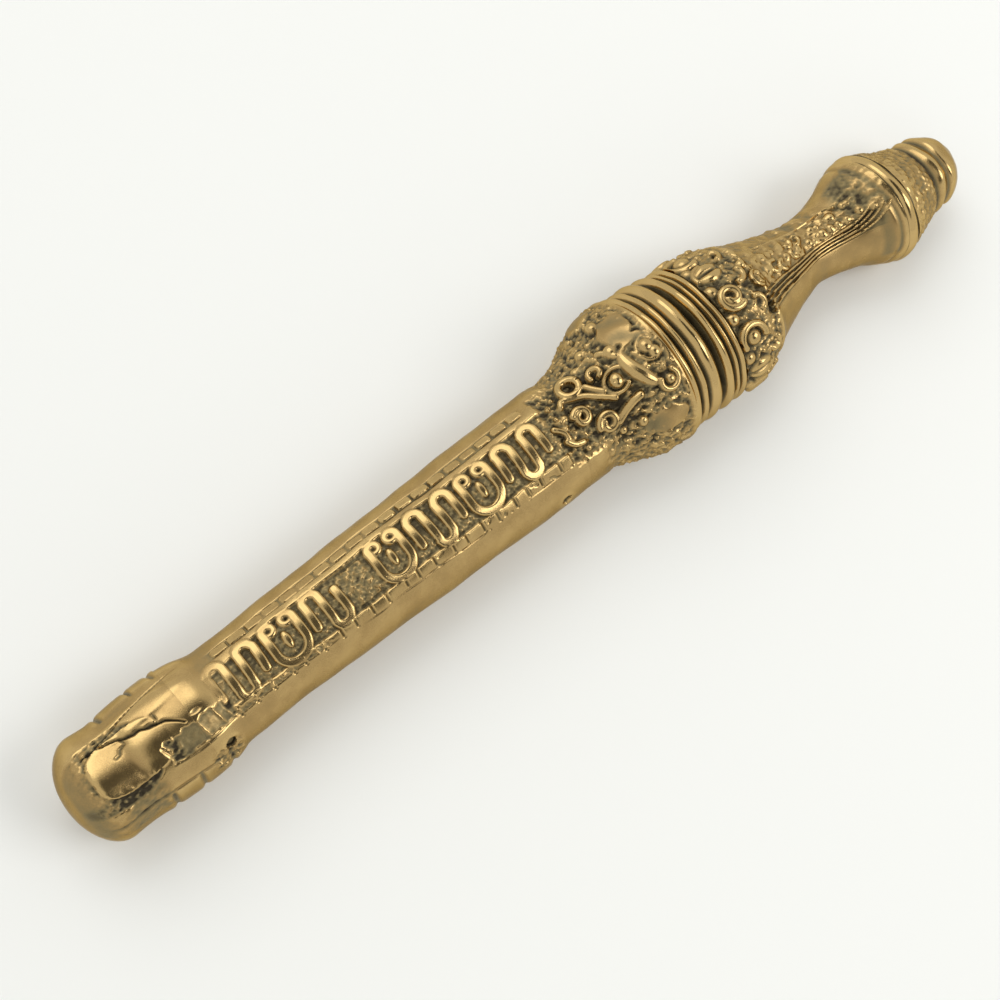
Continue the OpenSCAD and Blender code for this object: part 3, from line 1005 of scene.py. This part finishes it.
# the panel: a rough sunk ground between a border of bricks and a border of ticks
panelWork = {
    "length": (22.6, 81.0, 1.2), "opening": (21.0, 32.0),  # the ground widens and deepens over the opening
    "groundDepth": 0.3, "openDepth": 0.22,
    "block": ((44.6, 47.9, 0.5), (-19, 24, 2)), "blockHeight": 0.22,
    "brickBand": (25.2, 78.0, 3.0), "brickDepth": 0.2,
    "cells": (23.5, 38.5, 3.0), "cellDepth": 0.17,
    "cutFirst": 24.0, "cutPitch": 2.68, "cutWidth": 0.16, "cutDepth": 0.3,
    "outerLine": 40.5, "lineDepth": 0.12, "nicks": ((56, 81, 4), (29, 41, 3)), "nickDepth": 0.14,
}


def panelRelief(station, degrees, radius, points):
    work = panelWork
    length = window(station, *work["length"])
    wander = 0.7 * np.sin(station * 0.31) + 0.4 * np.sin(station * 0.83 + 1)
    opening = softStep(station, *work["opening"])
    rough = waves(points, 1.1, 31) * 0.05 + waves(points, 0.5, 32) * 0.045
    ground = length * window(degrees, -15.5 - 8.5 * opening + wander, 22.5 + 5.0 * opening + wander, 3.2)
    block = area(station, degrees, *work["block"])
    delta = ground * (rough * (0.7 + 0.6 * opening) - work["groundDepth"] - work["openDepth"] * opening
                      + work["blockHeight"] * block)
    # the brick border above
    band = window(station, *work["brickBand"]) * window(degrees, -45.4 + wander, -32.6 + wander, 1.6)
    delta -= work["brickDepth"] * band
    # the ticked border below: open cells near the foot, plain cuts further up, and a faint outer line
    cells = window(station, *work["cells"]) * window(degrees, 29 + wander, 36 + wander, 2.0)
    delta += length * cells * (rough - work["cellDepth"])
    cuts = ticks(station, work["cutFirst"], work["cutPitch"], work["cutWidth"], 3.0)
    cuts = cuts * window(degrees, 27, 39.0 + wander, 2.5)
    delta += length * cuts * (0.2 * cells - work["cutDepth"] * (1 - cells))
    line = (degrees - work["outerLine"] - wander) * radius / 57.3
    faint = softStep(waves(points, 6.0, 33), -0.9, 0.3)
    delta += length * groove(line, 0.11, work["lineDepth"]) * faint * softStep(station, 40, 50)
    nicks = softStep(waves(points, 1.2, 34), 1.0, 1.5) * area(station, degrees, *work["nicks"])
    delta -= length * nicks * work["nickDepth"]
    return delta, ground * (0.04 + 0.22 * block) + band * 0.02 + cells * 0.12


# the collar: a rough ground with smooth worn patches, (station, degrees), half length, half width
collarWork = {
    "length": (80.5, 98.9, 1.4), "around": (-128, 128, 12), "groundDepth": 0.5, "patchDepth": 0.2,
    "frontPatch": ((96.2, -6.2), 2.6, 3.6),
    "patches": (((96.0, -29), 2.6, 3.4), ((95.0, 50), 3.6, 2.2), ((95.4, -74), 2.4, 2.8)),
}


def collarRelief(station, degrees, radius, points):
    work = collarWork
    arc = np.radians(degrees) * radius
    length = window(station, *work["length"])
    lower = softStep(degrees, 36, 48) * (1 - softStep(station, 84.0, 89.0))
    upper = softStep(-degrees, 40, 54) * (1 - softStep(station, 82.0, 86.5))
    around = length * window(degrees, *work["around"]) * (1 - np.maximum(lower, upper))
    smooth = 0.0
    for at, halfLength, halfWidth in (work["frontPatch"], *work["patches"]):
        smooth = np.maximum(smooth, pad(station, arc, at, radius, halfLength, halfWidth))
    smooth = softStep(smooth + waves(points, 1.6, 45) * 0.12, 0.02, 0.3) * softStep(np.abs(degrees), 8, 14)
    rough = 0.2 * waves(points, 2.6, 41) + 0.14 * waves(points, 1.1, 42) + waves(points, 0.5, 43) * 0.1
    worn = waves(points, 2.6, 44) * 0.07 - work["patchDepth"]
    delta = around * ((1 - smooth) * (rough - work["groundDepth"]) + smooth * worn)
    # the smooth patches hold more film than the rough ground: painted shade
    return delta, around * (0.14 + smooth * 0.12)


crownWork = {"length": (110.2, 118.6, 1.2), "groundDepth": 0.75}


def crownRelief(station, degrees, radius, points):
    length = window(station, *crownWork["length"])
    rough = waves(points, 1.3, 51) * 0.14 + waves(points, 0.6, 52) * 0.08
    delta = length * (rough - crownWork["groundDepth"])
    return delta, length * 0.1


# the grip: a beaded front strip, a lined strip beside it, and a lumpy far side
gripWork = {
    "length": (117.5, 144.0, 1.5),
    # (low, high, soft edge) in degrees
    "front": (-27, 13.5, 3), "lined": (13.5, 34.0, 2.0), "far": (-75, -27, 6), "ridge": (2, 12, 5),
    "rimGroove": 144.9, "rimDepth": 0.26,
    "darkPatch": ((139.5, 145.5, 3.0), (-55, 16, 14)), "rimShadeBand": ((142.6, 145.6, 1.0), (22, 80, 12)),
}


def gripRelief(station, degrees, radius, points):
    work = gripWork
    length = window(station, *work["length"])
    front = length * window(degrees, *work["front"])
    lined = length * window(degrees, *work["lined"]) * (1 - softStep(station, 141.0, 145.5))
    far = length * window(degrees, *work["far"]) * (1 - softStep(station, 133.0, 140.0))
    rough = waves(points, 1.2, 61) * 0.08 + waves(points, 0.6, 62) * 0.04
    lumps = waves(points, 2.4, 63) * 0.14 + waves(points, 1.1, 65) * 0.06
    ridge = length * window(degrees, *work["ridge"]) * (0.5 + 0.5 * softStep(station, 132, 138))
    delta = (front * (rough + lumps * 0.5 - 0.16) + lined * (rough * 0.5 - 0.2) + far * (lumps - 0.05)
             + ridge * 0.12)
    # grooves inside the flare's rim
    rim = station - work["rimGroove"] - 0.4 * np.sin(np.radians(degrees) * 2)
    delta += groove(rim, 0.5, work["rimDepth"])
    patch = area(station, degrees, *work["darkPatch"])
    delta += patch * waves(points, 0.8, 64) * 0.05
    # painted shade: more film in the flare's rim groove on the lower side only
    band = area(station, degrees, *work["rimShadeBand"])
    # less film over the front strip and the ridge: partly rubbed brass, partly painted highlight
    return delta, lined * 0.04 - front * 0.12 - ridge * 0.15 + far * 0.06 + patch * 0.4 + band * 0.3


finialWork = {"cone": (148.6, 155.4, 1.0), "grooves": ((155.7, 0.5), (158.5, 0.45))}


def finialRelief(station, degrees, radius, points):
    cone = window(station, *finialWork["cone"])
    delta = cone * (waves(points, 0.9, 71) * 0.08 + waves(points, 0.45, 72) * 0.05 - 0.05)
    delta += waves(points, 4.0, 73) * 0.12
    groovesDark = sum(np.exp(-((station - at) / width) ** 2) for at, width in finialWork["grooves"])
    return delta, cone * 0.06 + groovesDark * 0.12


def pinHole(station, degrees, radius, at, size, depth):
    distance = np.hypot(station - at[0], (np.radians(degrees - at[1])) * radius)
    return -depth * (1 - softStep(distance, size, size + 0.22))


def castSurface(station, degrees):
    # radius of the finished casting and how much dark film and painted shade it holds, over a grid of rows and
    # columns
    station, degrees = np.broadcast_arrays(station[:, None], degrees[None, :])
    plain = plainRadius(station)
    angle = np.radians(degrees)
    points = np.stack([plain * np.sin(angle), station, plain * np.cos(angle)], -1)
    radius = plain.copy()
    filmAndShade = np.zeros(station.shape)
    for low, high, relief in ((0, 24, footRelief), (20, 84, panelRelief), (79, 101, collarRelief),
                              (108, 120, crownRelief), (116, 148, gripRelief), (147, 166, finialRelief)):
        rows = (station[:, 0] > low) & (station[:, 0] < high)
        if rows.any():
            delta, stainAndShade = relief(station[rows], degrees[rows], plain[rows], points[rows])
            radius[rows] += delta
            filmAndShade[rows] += stainAndShade
    radius += (waves(points, 14.0, 1) * 0.12 + waves(points, 5.0, 2) * 0.045) * softStep(plain, 2.0, 6.0)
    radius = withOrnaments(station, degrees, radius, plain)
    for spot in pinSpots:
        hole = pinHole(station, degrees, plain, spot, 0.62, 1.3)
        radius += hole
        # painted shade: extra film darkens the pin holes
        filmAndShade -= hole * 0.9
    return radius, filmAndShade, plain


def pinSpot(node):
    low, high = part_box(node)
    x, y, z = boxMid(node)
    return stationOf(y), math.degrees(math.atan2(x / mm, z / mm - axisHeight))


tubeFiling = 0.04  # mm by which the panel's ornament stands above the tube
pinSpots = [pinSpot("foot_cap_pin"), pinSpot("mouth_collar_pin")]


def withOrnaments(station, degrees, radius, plain):
    # lay the ornaments over the surface by looking inwards at every point, and melt the joints a little
    reach = 16.0  # mm from the axis, outside every ornament
    melt = 0.07  # mm over which a joint is rounded
    top = np.full(radius.shape, -1.0)
    rows, columns = station.shape
    for i in range(rows):
        y = footEnd + station[i, 0] * mm
        for j in range(columns):
            angle = math.radians(degrees[i, j])
            if abs(angle) > 2.5:
                continue
            out = Vector((math.sin(angle), 0.0, math.cos(angle)))
            start = out * (reach * mm) + Vector((0.0, y, axisHeight * mm))
            hit = ornaments.ray_cast(start, -out, (reach - 3) * mm)
            if hit[0] is not None:
                top[i, j] = reach - hit[3] / mm
    # filing has flattened everything that stood proud of the tube
    onTube = (station < 80.5) & (station > 21)
    proud = np.clip((top - plain - tubeFiling) / 0.05, -20, 20)
    top = np.where(onTube & (top > 0), top - 0.05 * np.logaddexp(0, proud), top)
    gap = np.clip((top - radius) / melt, -20, 20)
    return np.where(top > 0, radius + melt * np.logaddexp(0, gap), radius)


def blurred(values, places, size, wrap=None):
    # smooth along the first axis by a bell curve of the given size in mm
    apart = places[:, None] - places[None, :]
    if wrap:
        apart = (apart + wrap / 2) % wrap - wrap / 2
    weight = np.exp(-0.5 * (apart / size) ** 2) * np.abs(np.gradient(places))[None, :]
    return (weight / weight.sum(1, keepdims=True)) @ values


def filmAndShadeOver(station, degrees, radius, stainAndShade, plain):
    middle = float(np.median(radius))
    arc = np.radians(degrees) * middle
    wrap = 2 * math.pi * middle

    def soft(size):
        return blurred(blurred(radius, station, size).T, arc, size, wrap).T

    hollow = (soft(0.45) - radius) / 0.2 + 0.7 * (soft(1.5) - radius) / 0.5
    # the rounded ends fall away by themselves, which isn't a hollow
    hollow *= (softStep(station, 2.0, 4.5) * (1 - softStep(station, tipEnd - 5.5, tipEnd - 4.0)))[:, None]
    return 0.27 + 0.36 * np.clip(hollow, -0.8, 1.4) + stainAndShade


def columnsOf(front, fine, coarse):
    # column angles in degrees, close together over the front and further apart round the back
    low, high = front
    near = np.linspace(low, high, fine, endpoint=False)
    far = np.linspace(high, low + 360, coarse, endpoint=False)
    return np.concatenate([near, far])


def flattened(radius, degrees):
    # cut the back flat, with a slightly softened corner
    down = -np.cos(np.radians(degrees))
    limit = np.where(down > 0.05, axisHeight / np.maximum(down, 0.05), 99.0)
    soft = 0.12
    gap = np.clip((radius - limit) / soft, -30, 30)
    low = radius - soft * np.logaddexp(0, gap)
    return np.minimum(low, limit)


def ringAt(station, degrees, radius, bend=0.0):
    angle = np.radians(degrees)
    radius = np.broadcast_to(radius, angle.shape)
    return np.stack([(radius * np.sin(angle) + bend) * mm, np.full(angle.shape, footEnd + station * mm),
                     (axisHeight + radius * np.cos(angle)) * mm], -1)


def loopSkin(name, rings, filmsAndShade, material, closed=False, poles=(False, False)):
    # a closed skin through a list of rings of equally many points
    count, around = len(rings), len(rings[0])
    points = np.concatenate(rings)
    filmAndShade = np.concatenate([np.broadcast_to(f, (around,)) for f in filmsAndShade])
    i, j = np.meshgrid(np.arange(count if closed else count - 1), np.arange(around), indexing="ij")
    k, l = (i + 1) % count, (j + 1) % around
    faces = np.stack([i * around + j, i * around + l, k * around + l, k * around + j], -1).reshape(-1, 4)
    caps = []
    for ring, wanted in ((0, poles[0]), (count - 1, poles[1])):
        if wanted:
            points = np.concatenate([points, rings[ring].mean(0)[None]])
            filmAndShade = np.append(filmAndShade, filmAndShade[ring * around])
            ends = np.arange(around) + ring * around
            nexts = np.roll(ends, -1)
            tip = np.full(around, len(points) - 1)
            caps.append(np.stack([nexts, ends, tip] if ring == 0 else [ends, nexts, tip], -1))
    flat = faces.reshape(-1, 4)
    a, b, c, d = (points[flat[:, n]] for n in range(4))
    volume = (np.einsum("ij,ij->i", a, np.cross(b, c)) + np.einsum("ij,ij->i", a, np.cross(c, d))).sum()
    if volume < 0:
        flat = flat[:, ::-1]
        caps = [cap[:, ::-1] for cap in caps]
    mesh = newMesh(name, points, faces=flat.tolist() + [f for cap in caps for f in cap.tolist()],
                   recess=filmAndShade.astype(float))
    return newObject(name, mesh, material)


def newObject(name, mesh, material, sharp=50.0):
    mesh.validate()
    mesh.materials.clear()
    mesh.materials.append(material)
    mesh.polygons.foreach_set("use_smooth", [True] * len(mesh.polygons))
    mesh.set_sharp_from_angle(angle=math.radians(sharp))
    mesh.update()
    made = bpy.data.objects.new(name, mesh)
    bpy.context.scene.collection.objects.link(made)
    return made


hiddenFilm = 0.45  # film on the surfaces inside
crevice = 0.9  # film where the rings' seats begin


def castPiece(name, body, node, outside, columns, inside, poles=(False, False), closed=True,
              softEnds=(True, True)):
    # outside: stations of the visible surface; inside: (station, radius) back along the hollow
    stations = np.asarray(outside, float)
    radius, stainAndShade, plain = castSurface(stations, columns)
    filmAndShade = filmAndShadeOver(stations, columns, radius, stainAndShade, plain)
    for row, soft in ((0, softEnds[0]), (-1, softEnds[1])):
        if soft:
            radius[row] -= 0.012
            filmAndShade[row] += 0.05
    radius = flattened(radius, columns[None, :])
    rings = [ringAt(s, columns, radius[i], bendAt(s)) for i, s in enumerate(stations)]
    filmsAndShade = list(filmAndShade)
    for station, size, bent in inside:
        hollow = flattened(np.full(columns.shape, size), columns) if bent else size
        rings.append(ringAt(station, columns, hollow, bendAt(station) if bent else 0.0))
        filmsAndShade.append(crevice if bent else hiddenFilm)
    made = loopSkin(name, rings, filmsAndShade, castBrass, closed=closed, poles=poles)
    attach(made, body)
    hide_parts(node)
    print("   ", name, len(made.data.polygons), "faces")
    return made


def stationsFrom(low, high, step):
    return np.linspace(low, high, int(round((high - low) / step)) + 1)


def domeStations(length, step):
    # rows that close up towards a rounded end
    return length * (1 - np.cos(np.linspace(0.06, math.pi / 2, int(length / step))))


# the castings

coarse = 1.0
spotSize = 0.155 * coarse  # mm between rows

# radii in mm inside the castings, and on the spigots that enter the tube
hollows = {
    "tube": 6.12, "spigot": 6.1, "scroll": 5.3, "socket": 6.2, "sleeve": 6.16, "ringSeat": 8.96,
    "pommelSeat": 5.48, "studHole": 1.82, "stud": 1.8, "drillTip": 0.02, "waist": 3.0, "studTip": 0.1,
}

# where each hollow begins and ends, as stations
hollowEnds = {
    "footSpigot": 28.0, "blindEnd": 8.0, "collarSpigot": 70.0, "socket": 91.1, "sleeve": 114.5,
    "cavity": 118.0, "cavityTaper": 125.0, "cavityTip": 126.5, "studHole": 137.7, "stud": 138.0,
}

# columns: the finely divided front in degrees, how many columns there, and how many round the back
castingGrids = {
    "foot": ((-120, 120), 250, 50), "tube": ((-62, 80), 178, 62), "collar": ((-115, 115), 300, 60),
    "cap": ((-110, 110), 240, 60), "finial": ((-110, 110), 130, 50),
}


def gridColumns(name):
    front, fine, back = castingGrids[name]
    return columnsOf(front, int(fine / coarse), int(back / coarse))


def makeFoot(size, end):
    rows = np.concatenate([domeStations(caseOutline[0][0], spotSize)[:-1],
                           stationsFrom(caseOutline[0][0], footJoint, spotSize)])
    # the spigot that enters the tube, then the blind bore
    inside = [(footJoint, size["spigot"], False), (end["footSpigot"], size["spigot"], False),
              (end["footSpigot"], size["scroll"], False), (end["blindEnd"], size["scroll"], False)]
    return castPiece("footCasting", "case", "foot_cap", rows, gridColumns("foot"), inside,
                     poles=(True, True), closed=False, softEnds=(False, True))


def makeTube(size):
    rows = stationsFrom(footJoint, collarJoint, spotSize)
    return castPiece("tubeCasting", "case", "case_tube", rows, gridColumns("tube"),
                     [(collarJoint, size["tube"], False), (footJoint, size["tube"], False)])


def makeCollar(size, end):
    rows = stationsFrom(collarJoint, ringFoot, spotSize)
    # the seat under the rings, the sleeve's socket, the room for the scroll, then the spigot
    inside = [(ringFoot, size["ringSeat"], True), (mouthEnd, size["ringSeat"], True),
              (mouthEnd, size["socket"], False), (end["socket"], size["socket"], False),
              (end["socket"], size["scroll"], False), (end["collarSpigot"], size["scroll"], False),
              (end["collarSpigot"], size["spigot"], False), (collarJoint, size["spigot"], False)]
    return castPiece("collarCasting", "case", "mouth_collar", rows, gridColumns("collar"), inside)


def makeCap(size, end):
    rows = stationsFrom(crownFoot, flareEnd, spotSize)
    # the pommel ring's seat, the stud's hole, the cavity, the sleeve's seat, then the seat under the rings
    inside = [(flareEnd, size["pommelSeat"], False), (finialFoot, size["pommelSeat"], False),
              (finialFoot, size["studHole"], False), (end["studHole"], size["studHole"], False),
              (end["studHole"], size["drillTip"], False), (end["cavityTip"], size["drillTip"], False),
              (end["cavityTaper"], size["waist"], False), (end["cavity"], size["scroll"], False),
              (end["sleeve"], size["scroll"], False), (end["sleeve"], size["sleeve"], False),
              (capFoot, size["sleeve"], False), (capFoot, size["ringSeat"], True),
              (crownFoot, size["ringSeat"], True)]
    return castPiece("capCasting", "cap", "cap_shell", rows, gridColumns("cap"), inside)


def makeFinial(size, end):
    columns = gridColumns("finial")
    first = finialOutline[-1][0]
    rows = np.concatenate([stationsFrom(finialFoot, first, spotSize),
                           first + (tipEnd - first) * np.sin(np.linspace(0.08, 1.54, 8))])
    stud = [(end["stud"], size["studTip"]), (end["stud"], size["stud"]), (finialFoot, size["stud"])]
    radius, stainAndShade, plain = castSurface(rows, columns)
    filmAndShade = filmAndShadeOver(rows, columns, radius, stainAndShade, plain)
    radius = flattened(radius, columns[None, :])
    rings = [ringAt(station, columns, reach) for station, reach in stud]
    rings += [ringAt(station, columns, radius[i], bendAt(station)) for i, station in enumerate(rows)]
    filmsAndShade = [hiddenFilm] * len(stud) + list(filmAndShade)
    made = loopSkin("finialCasting", rings, filmsAndShade, castBrass, poles=(True, True))
    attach(made, "cap")
    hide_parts("finial")
    return made


makeFoot(hollows, hollowEnds)
makeTube(hollows)
makeCollar(hollows, hollowEnds)
makeCap(hollows, hollowEnds)
makeFinial(hollows, hollowEnds)
print("stage: castings made")

# rings soldered over the joints

# each bead of a ring: (crest radius, crest station, half width), in mm
ringSections = {
    "mouthRings": {"node": "mouth_ring", "body": "case", "inner": 9.02, "root": 10.3,
                   "beads": [(11.65, 100.5, 0.95), (11.4, 102.25, 0.75), (11.65, 104.25, 1.3)]},
    "capRings": {"node": "cap_ring", "body": "cap", "inner": 9.02, "root": 10.0,
                 "beads": [(11.35, 107.05, 0.9), (11.05, 108.5, 0.48), (11.2, 109.6, 0.6)]},
    "pommelRings": {"node": "pommel_ring", "body": "cap", "inner": 5.52, "root": 8.65,
                    "beads": [(9.2, 147.2, 0.95)]},
}


ringGrid = {"around": 300, "wander": 0.8, "step": 0.09}  # wander is how far the bands run out of true


def ringBand(name, section):
    low, high = (stationOf(end[1]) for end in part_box(section["node"]))
    stations = stationsFrom(low, high, ringGrid["step"] * coarse)
    height = np.full(stations.shape, section["root"])
    for crest, at, half in section["beads"]:
        inside = np.clip(1 - ((stations - at) / half) ** 2, 0, 1)
        height = np.maximum(height, section["root"] + (crest - section["root"]) * inside ** 0.7)
    inner = section["inner"]
    outline = [((r - inner) * mm, (s - low) * mm, 0.0) for s, r in zip(stations, height)]
    outline += [(0.0, (high - low) * mm, 0.0), (0.0, 0.0, 0.0)]
    mesh = newMesh(name, outline, [(i, (i + 1) % len(outline)) for i in range(len(outline))])
    mesh = grow(name, ringTree(rubbedBrass), mesh, Radius=inner * mm,
                Around=int(ringGrid["around"] / coarse), Wander=ringGrid["wander"] * mm)
    points = vertexPlaces(mesh)
    # dark film in the valleys, partly patina and partly painted shade, by how far each point lies under the
    # crests beside it
    out = np.hypot(points[:, 0], points[:, 2]) / mm
    station = points[:, 1] / mm + low
    crest = max(bead[0] for bead in section["beads"])
    filmAndShade = 0.04 + 0.9 * softStep(crest - out, 0.3, 0.62 * (crest - section["root"]))
    points[:, 1] += footEnd + low * mm
    points[:, 0] += bendAt(station) * mm
    points[:, 2] += axisHeight * mm
    mesh.vertices.foreach_set("co", points.ravel())
    keepValues(mesh, "recess", filmAndShade)
    cutFlat(mesh)
    made = newObject(name, mesh, rubbedBrass)
    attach(made, section["body"])
    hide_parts(section["node"])
    print("   ", name, len(mesh.polygons), "faces")


def cutFlat(mesh):
    # slice off what lies under the flat back and close the cut
    work = bmesh.new()
    work.from_mesh(mesh)
    bmesh.ops.remove_doubles(work, verts=work.verts, dist=1e-7)
    everything = work.verts[:] + work.edges[:] + work.faces[:]
    bmesh.ops.bisect_plane(work, geom=everything, plane_co=(0, 0, 0), plane_no=(0, 0, 1), clear_inner=True)
    bmesh.ops.holes_fill(work, edges=[e for e in work.edges if e.is_boundary])
    bmesh.ops.recalc_face_normals(work, faces=work.faces)
    work.to_mesh(mesh)
    work.free()


for name, section in ringSections.items():
    ringBand(name, section)
print("stage: rings made")

# the scroll, its wrapper and its tie

# inner and outer are the radii of the roll
scrollSheet = {
    "turns": 8, "thickness": 0.24, "inner": 1.0, "outer": 4.0, "rows": 40, "perTurn": 56, "wander": 0.25,
}
wrapperSheet = {
    "turns": 1.12, "thickness": 0.09, "inner": 4.03, "outer": 4.23, "rows": 60, "perTurn": 90, "wander": 0.0,
}


def rolledSheet(name, node, sheet, material):
    # a sheet wound on itself: its section is one long spiral strip, so every layer shows at the ends
    low, high = (stationOf(end[1]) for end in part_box(node))
    steps = int(sheet["turns"] * sheet["perTurn"])
    angle = np.linspace(0, sheet["turns"] * 2 * math.pi, steps + 1)
    half = sheet["thickness"] / 2
    middle = np.linspace(sheet["inner"] + half, sheet["outer"] - half, steps + 1)
    settled = softStep(angle, 0, 6) * (1 - softStep(angle, angle[-1] - 6, angle[-1]))
    middle += 0.03 * np.sin(angle * 0.93) * settled
    radius = np.concatenate([middle + half, (middle - half)[::-1]])
    turn = np.concatenate([angle, angle[::-1]])
    rings, count = [], sheet["rows"]
    for i in range(count):
        part = i / (count - 1)
        end = 1 if i == count - 1 else -1 if i == 0 else 0
        # layers slip past one another a little at both ends, inwards only
        slip = sheet["wander"] * (0.5 + 0.5 * np.sin(turn * 0.41 + 1.0)) if end else 0.0
        station = low + (high - low) * part - end * slip
        ring = np.stack([radius * np.sin(turn) * mm, footEnd + station * mm + turn * 0,
                         (axisHeight + radius * np.cos(turn)) * mm], -1)
        rings.append(ring)
    return stripSkin(name, rings, material)


def stripSkin(name, rings, material):
    # a closed skin through rings whose ends are closed by quads across the strip's thickness
    around = len(rings[0])
    points = np.concatenate(rings)
    i, j = np.meshgrid(np.arange(len(rings) - 1), np.arange(around), indexing="ij")
    here, there, right = i * around, (i + 1) * around, (j + 1) % around
    faces = np.stack([here + j, here + right, there + right, there + j], -1).reshape(-1, 4)
    n = np.arange(around // 2 - 1)
    first = np.stack([n, around - 1 - n, around - 2 - n, n + 1], -1)
    last = first[:, ::-1] + (len(rings) - 1) * around
    faces = np.concatenate([faces, first, last])
    mesh = newMesh(name, points, faces=faces.tolist())
    work = bmesh.new()
    work.from_mesh(mesh)
    bmesh.ops.recalc_face_normals(work, faces=work.faces)
    work.to_mesh(mesh)
    work.free()
    return newObject(name, mesh, material, sharp=40)


parchmentLook = makeParchment(skinFinish)
paperLook = makePaper(paperFinish)
threadLook = makeThread(threadFinish)


def makeScroll():
    roll = rolledSheet("parchmentRoll", "parchment_scroll", scrollSheet, parchmentLook)
    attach(roll, "scroll")
    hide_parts("parchment_scroll")
    paper = rolledSheet("paperWrapper", "scroll_wrapper", wrapperSheet, paperLook)
    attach(paper, "scroll")
    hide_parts("scroll_wrapper")


tieKnot = {
    "station": stationOf(boxMid("scroll_tie")[1]),
    "turns": 3, "thickness": 0.24, "radius": 4.5, "pitch": 0.52,
}


def makeTie(tie):
    # a waxed thread wound three times and knotted on the front, with two short tails
    run = []
    for angle in np.linspace(-0.06, tie["turns"] * 2 * math.pi + 0.06, tie["turns"] * 48):
        station = tie["station"] + tie["pitch"] * (angle / (2 * math.pi) - tie["turns"] / 2)
        run.append((tie["radius"] * math.sin(angle), station, tie["radius"] * math.cos(angle)))
    loop = []
    for angle in np.linspace(0, 2 * math.pi, 40):
        loop.append((0.62 * math.sin(2 * angle), tie["station"] + 0.78 * math.sin(angle),
                     tie["radius"] + 0.22 + 0.16 * math.cos(3 * angle)))
    tails = [[(side * 0.2 + side * 0.5 * t, tie["station"] + side * (0.6 + 2.0 * t),
               tie["radius"] + 0.12 - 0.06 * t) for t in np.linspace(0, 1, 14)] for side in (-1, 1)]
    places, joins = [], []
    for part in (run, loop, *tails):
        joins += [(len(places) + i, len(places) + i + 1) for i in range(len(part) - 1)]
        places += [(x * mm, footEnd + s * mm, (axisHeight + z) * mm) for x, s, z in part]
    mesh = newMesh("tieRuns", places, joins, thickness=[tie["thickness"] * mm] * len(places))
    made = newObject("waxedTie", grow("waxedTie", threadTree(), mesh, Sides=12), threadLook)
    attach(made, "scroll")
    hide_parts("scroll_tie")


makeScroll()
makeTie(tieKnot)

# the two pins and the sleeve are plain turned and drawn parts, so the CAD pieces stay, with real materials,
# save that the pins' darkened brass is painted shade
plainPieces = {
    "foot_cap_pin": shadedPinBrass, "mouth_collar_pin": shadedPinBrass, "cap_sleeve": makeDrawnBrass(drawnTube),
}
for node, look in plainPieces.items():
    for slot in bpy.data.objects[node].material_slots:
        slot.material = look
print("stage: scroll, wrapper, tie, pins and sleeve made")

bpy.context.view_layer.update()

bpy.context.view_layer.update()
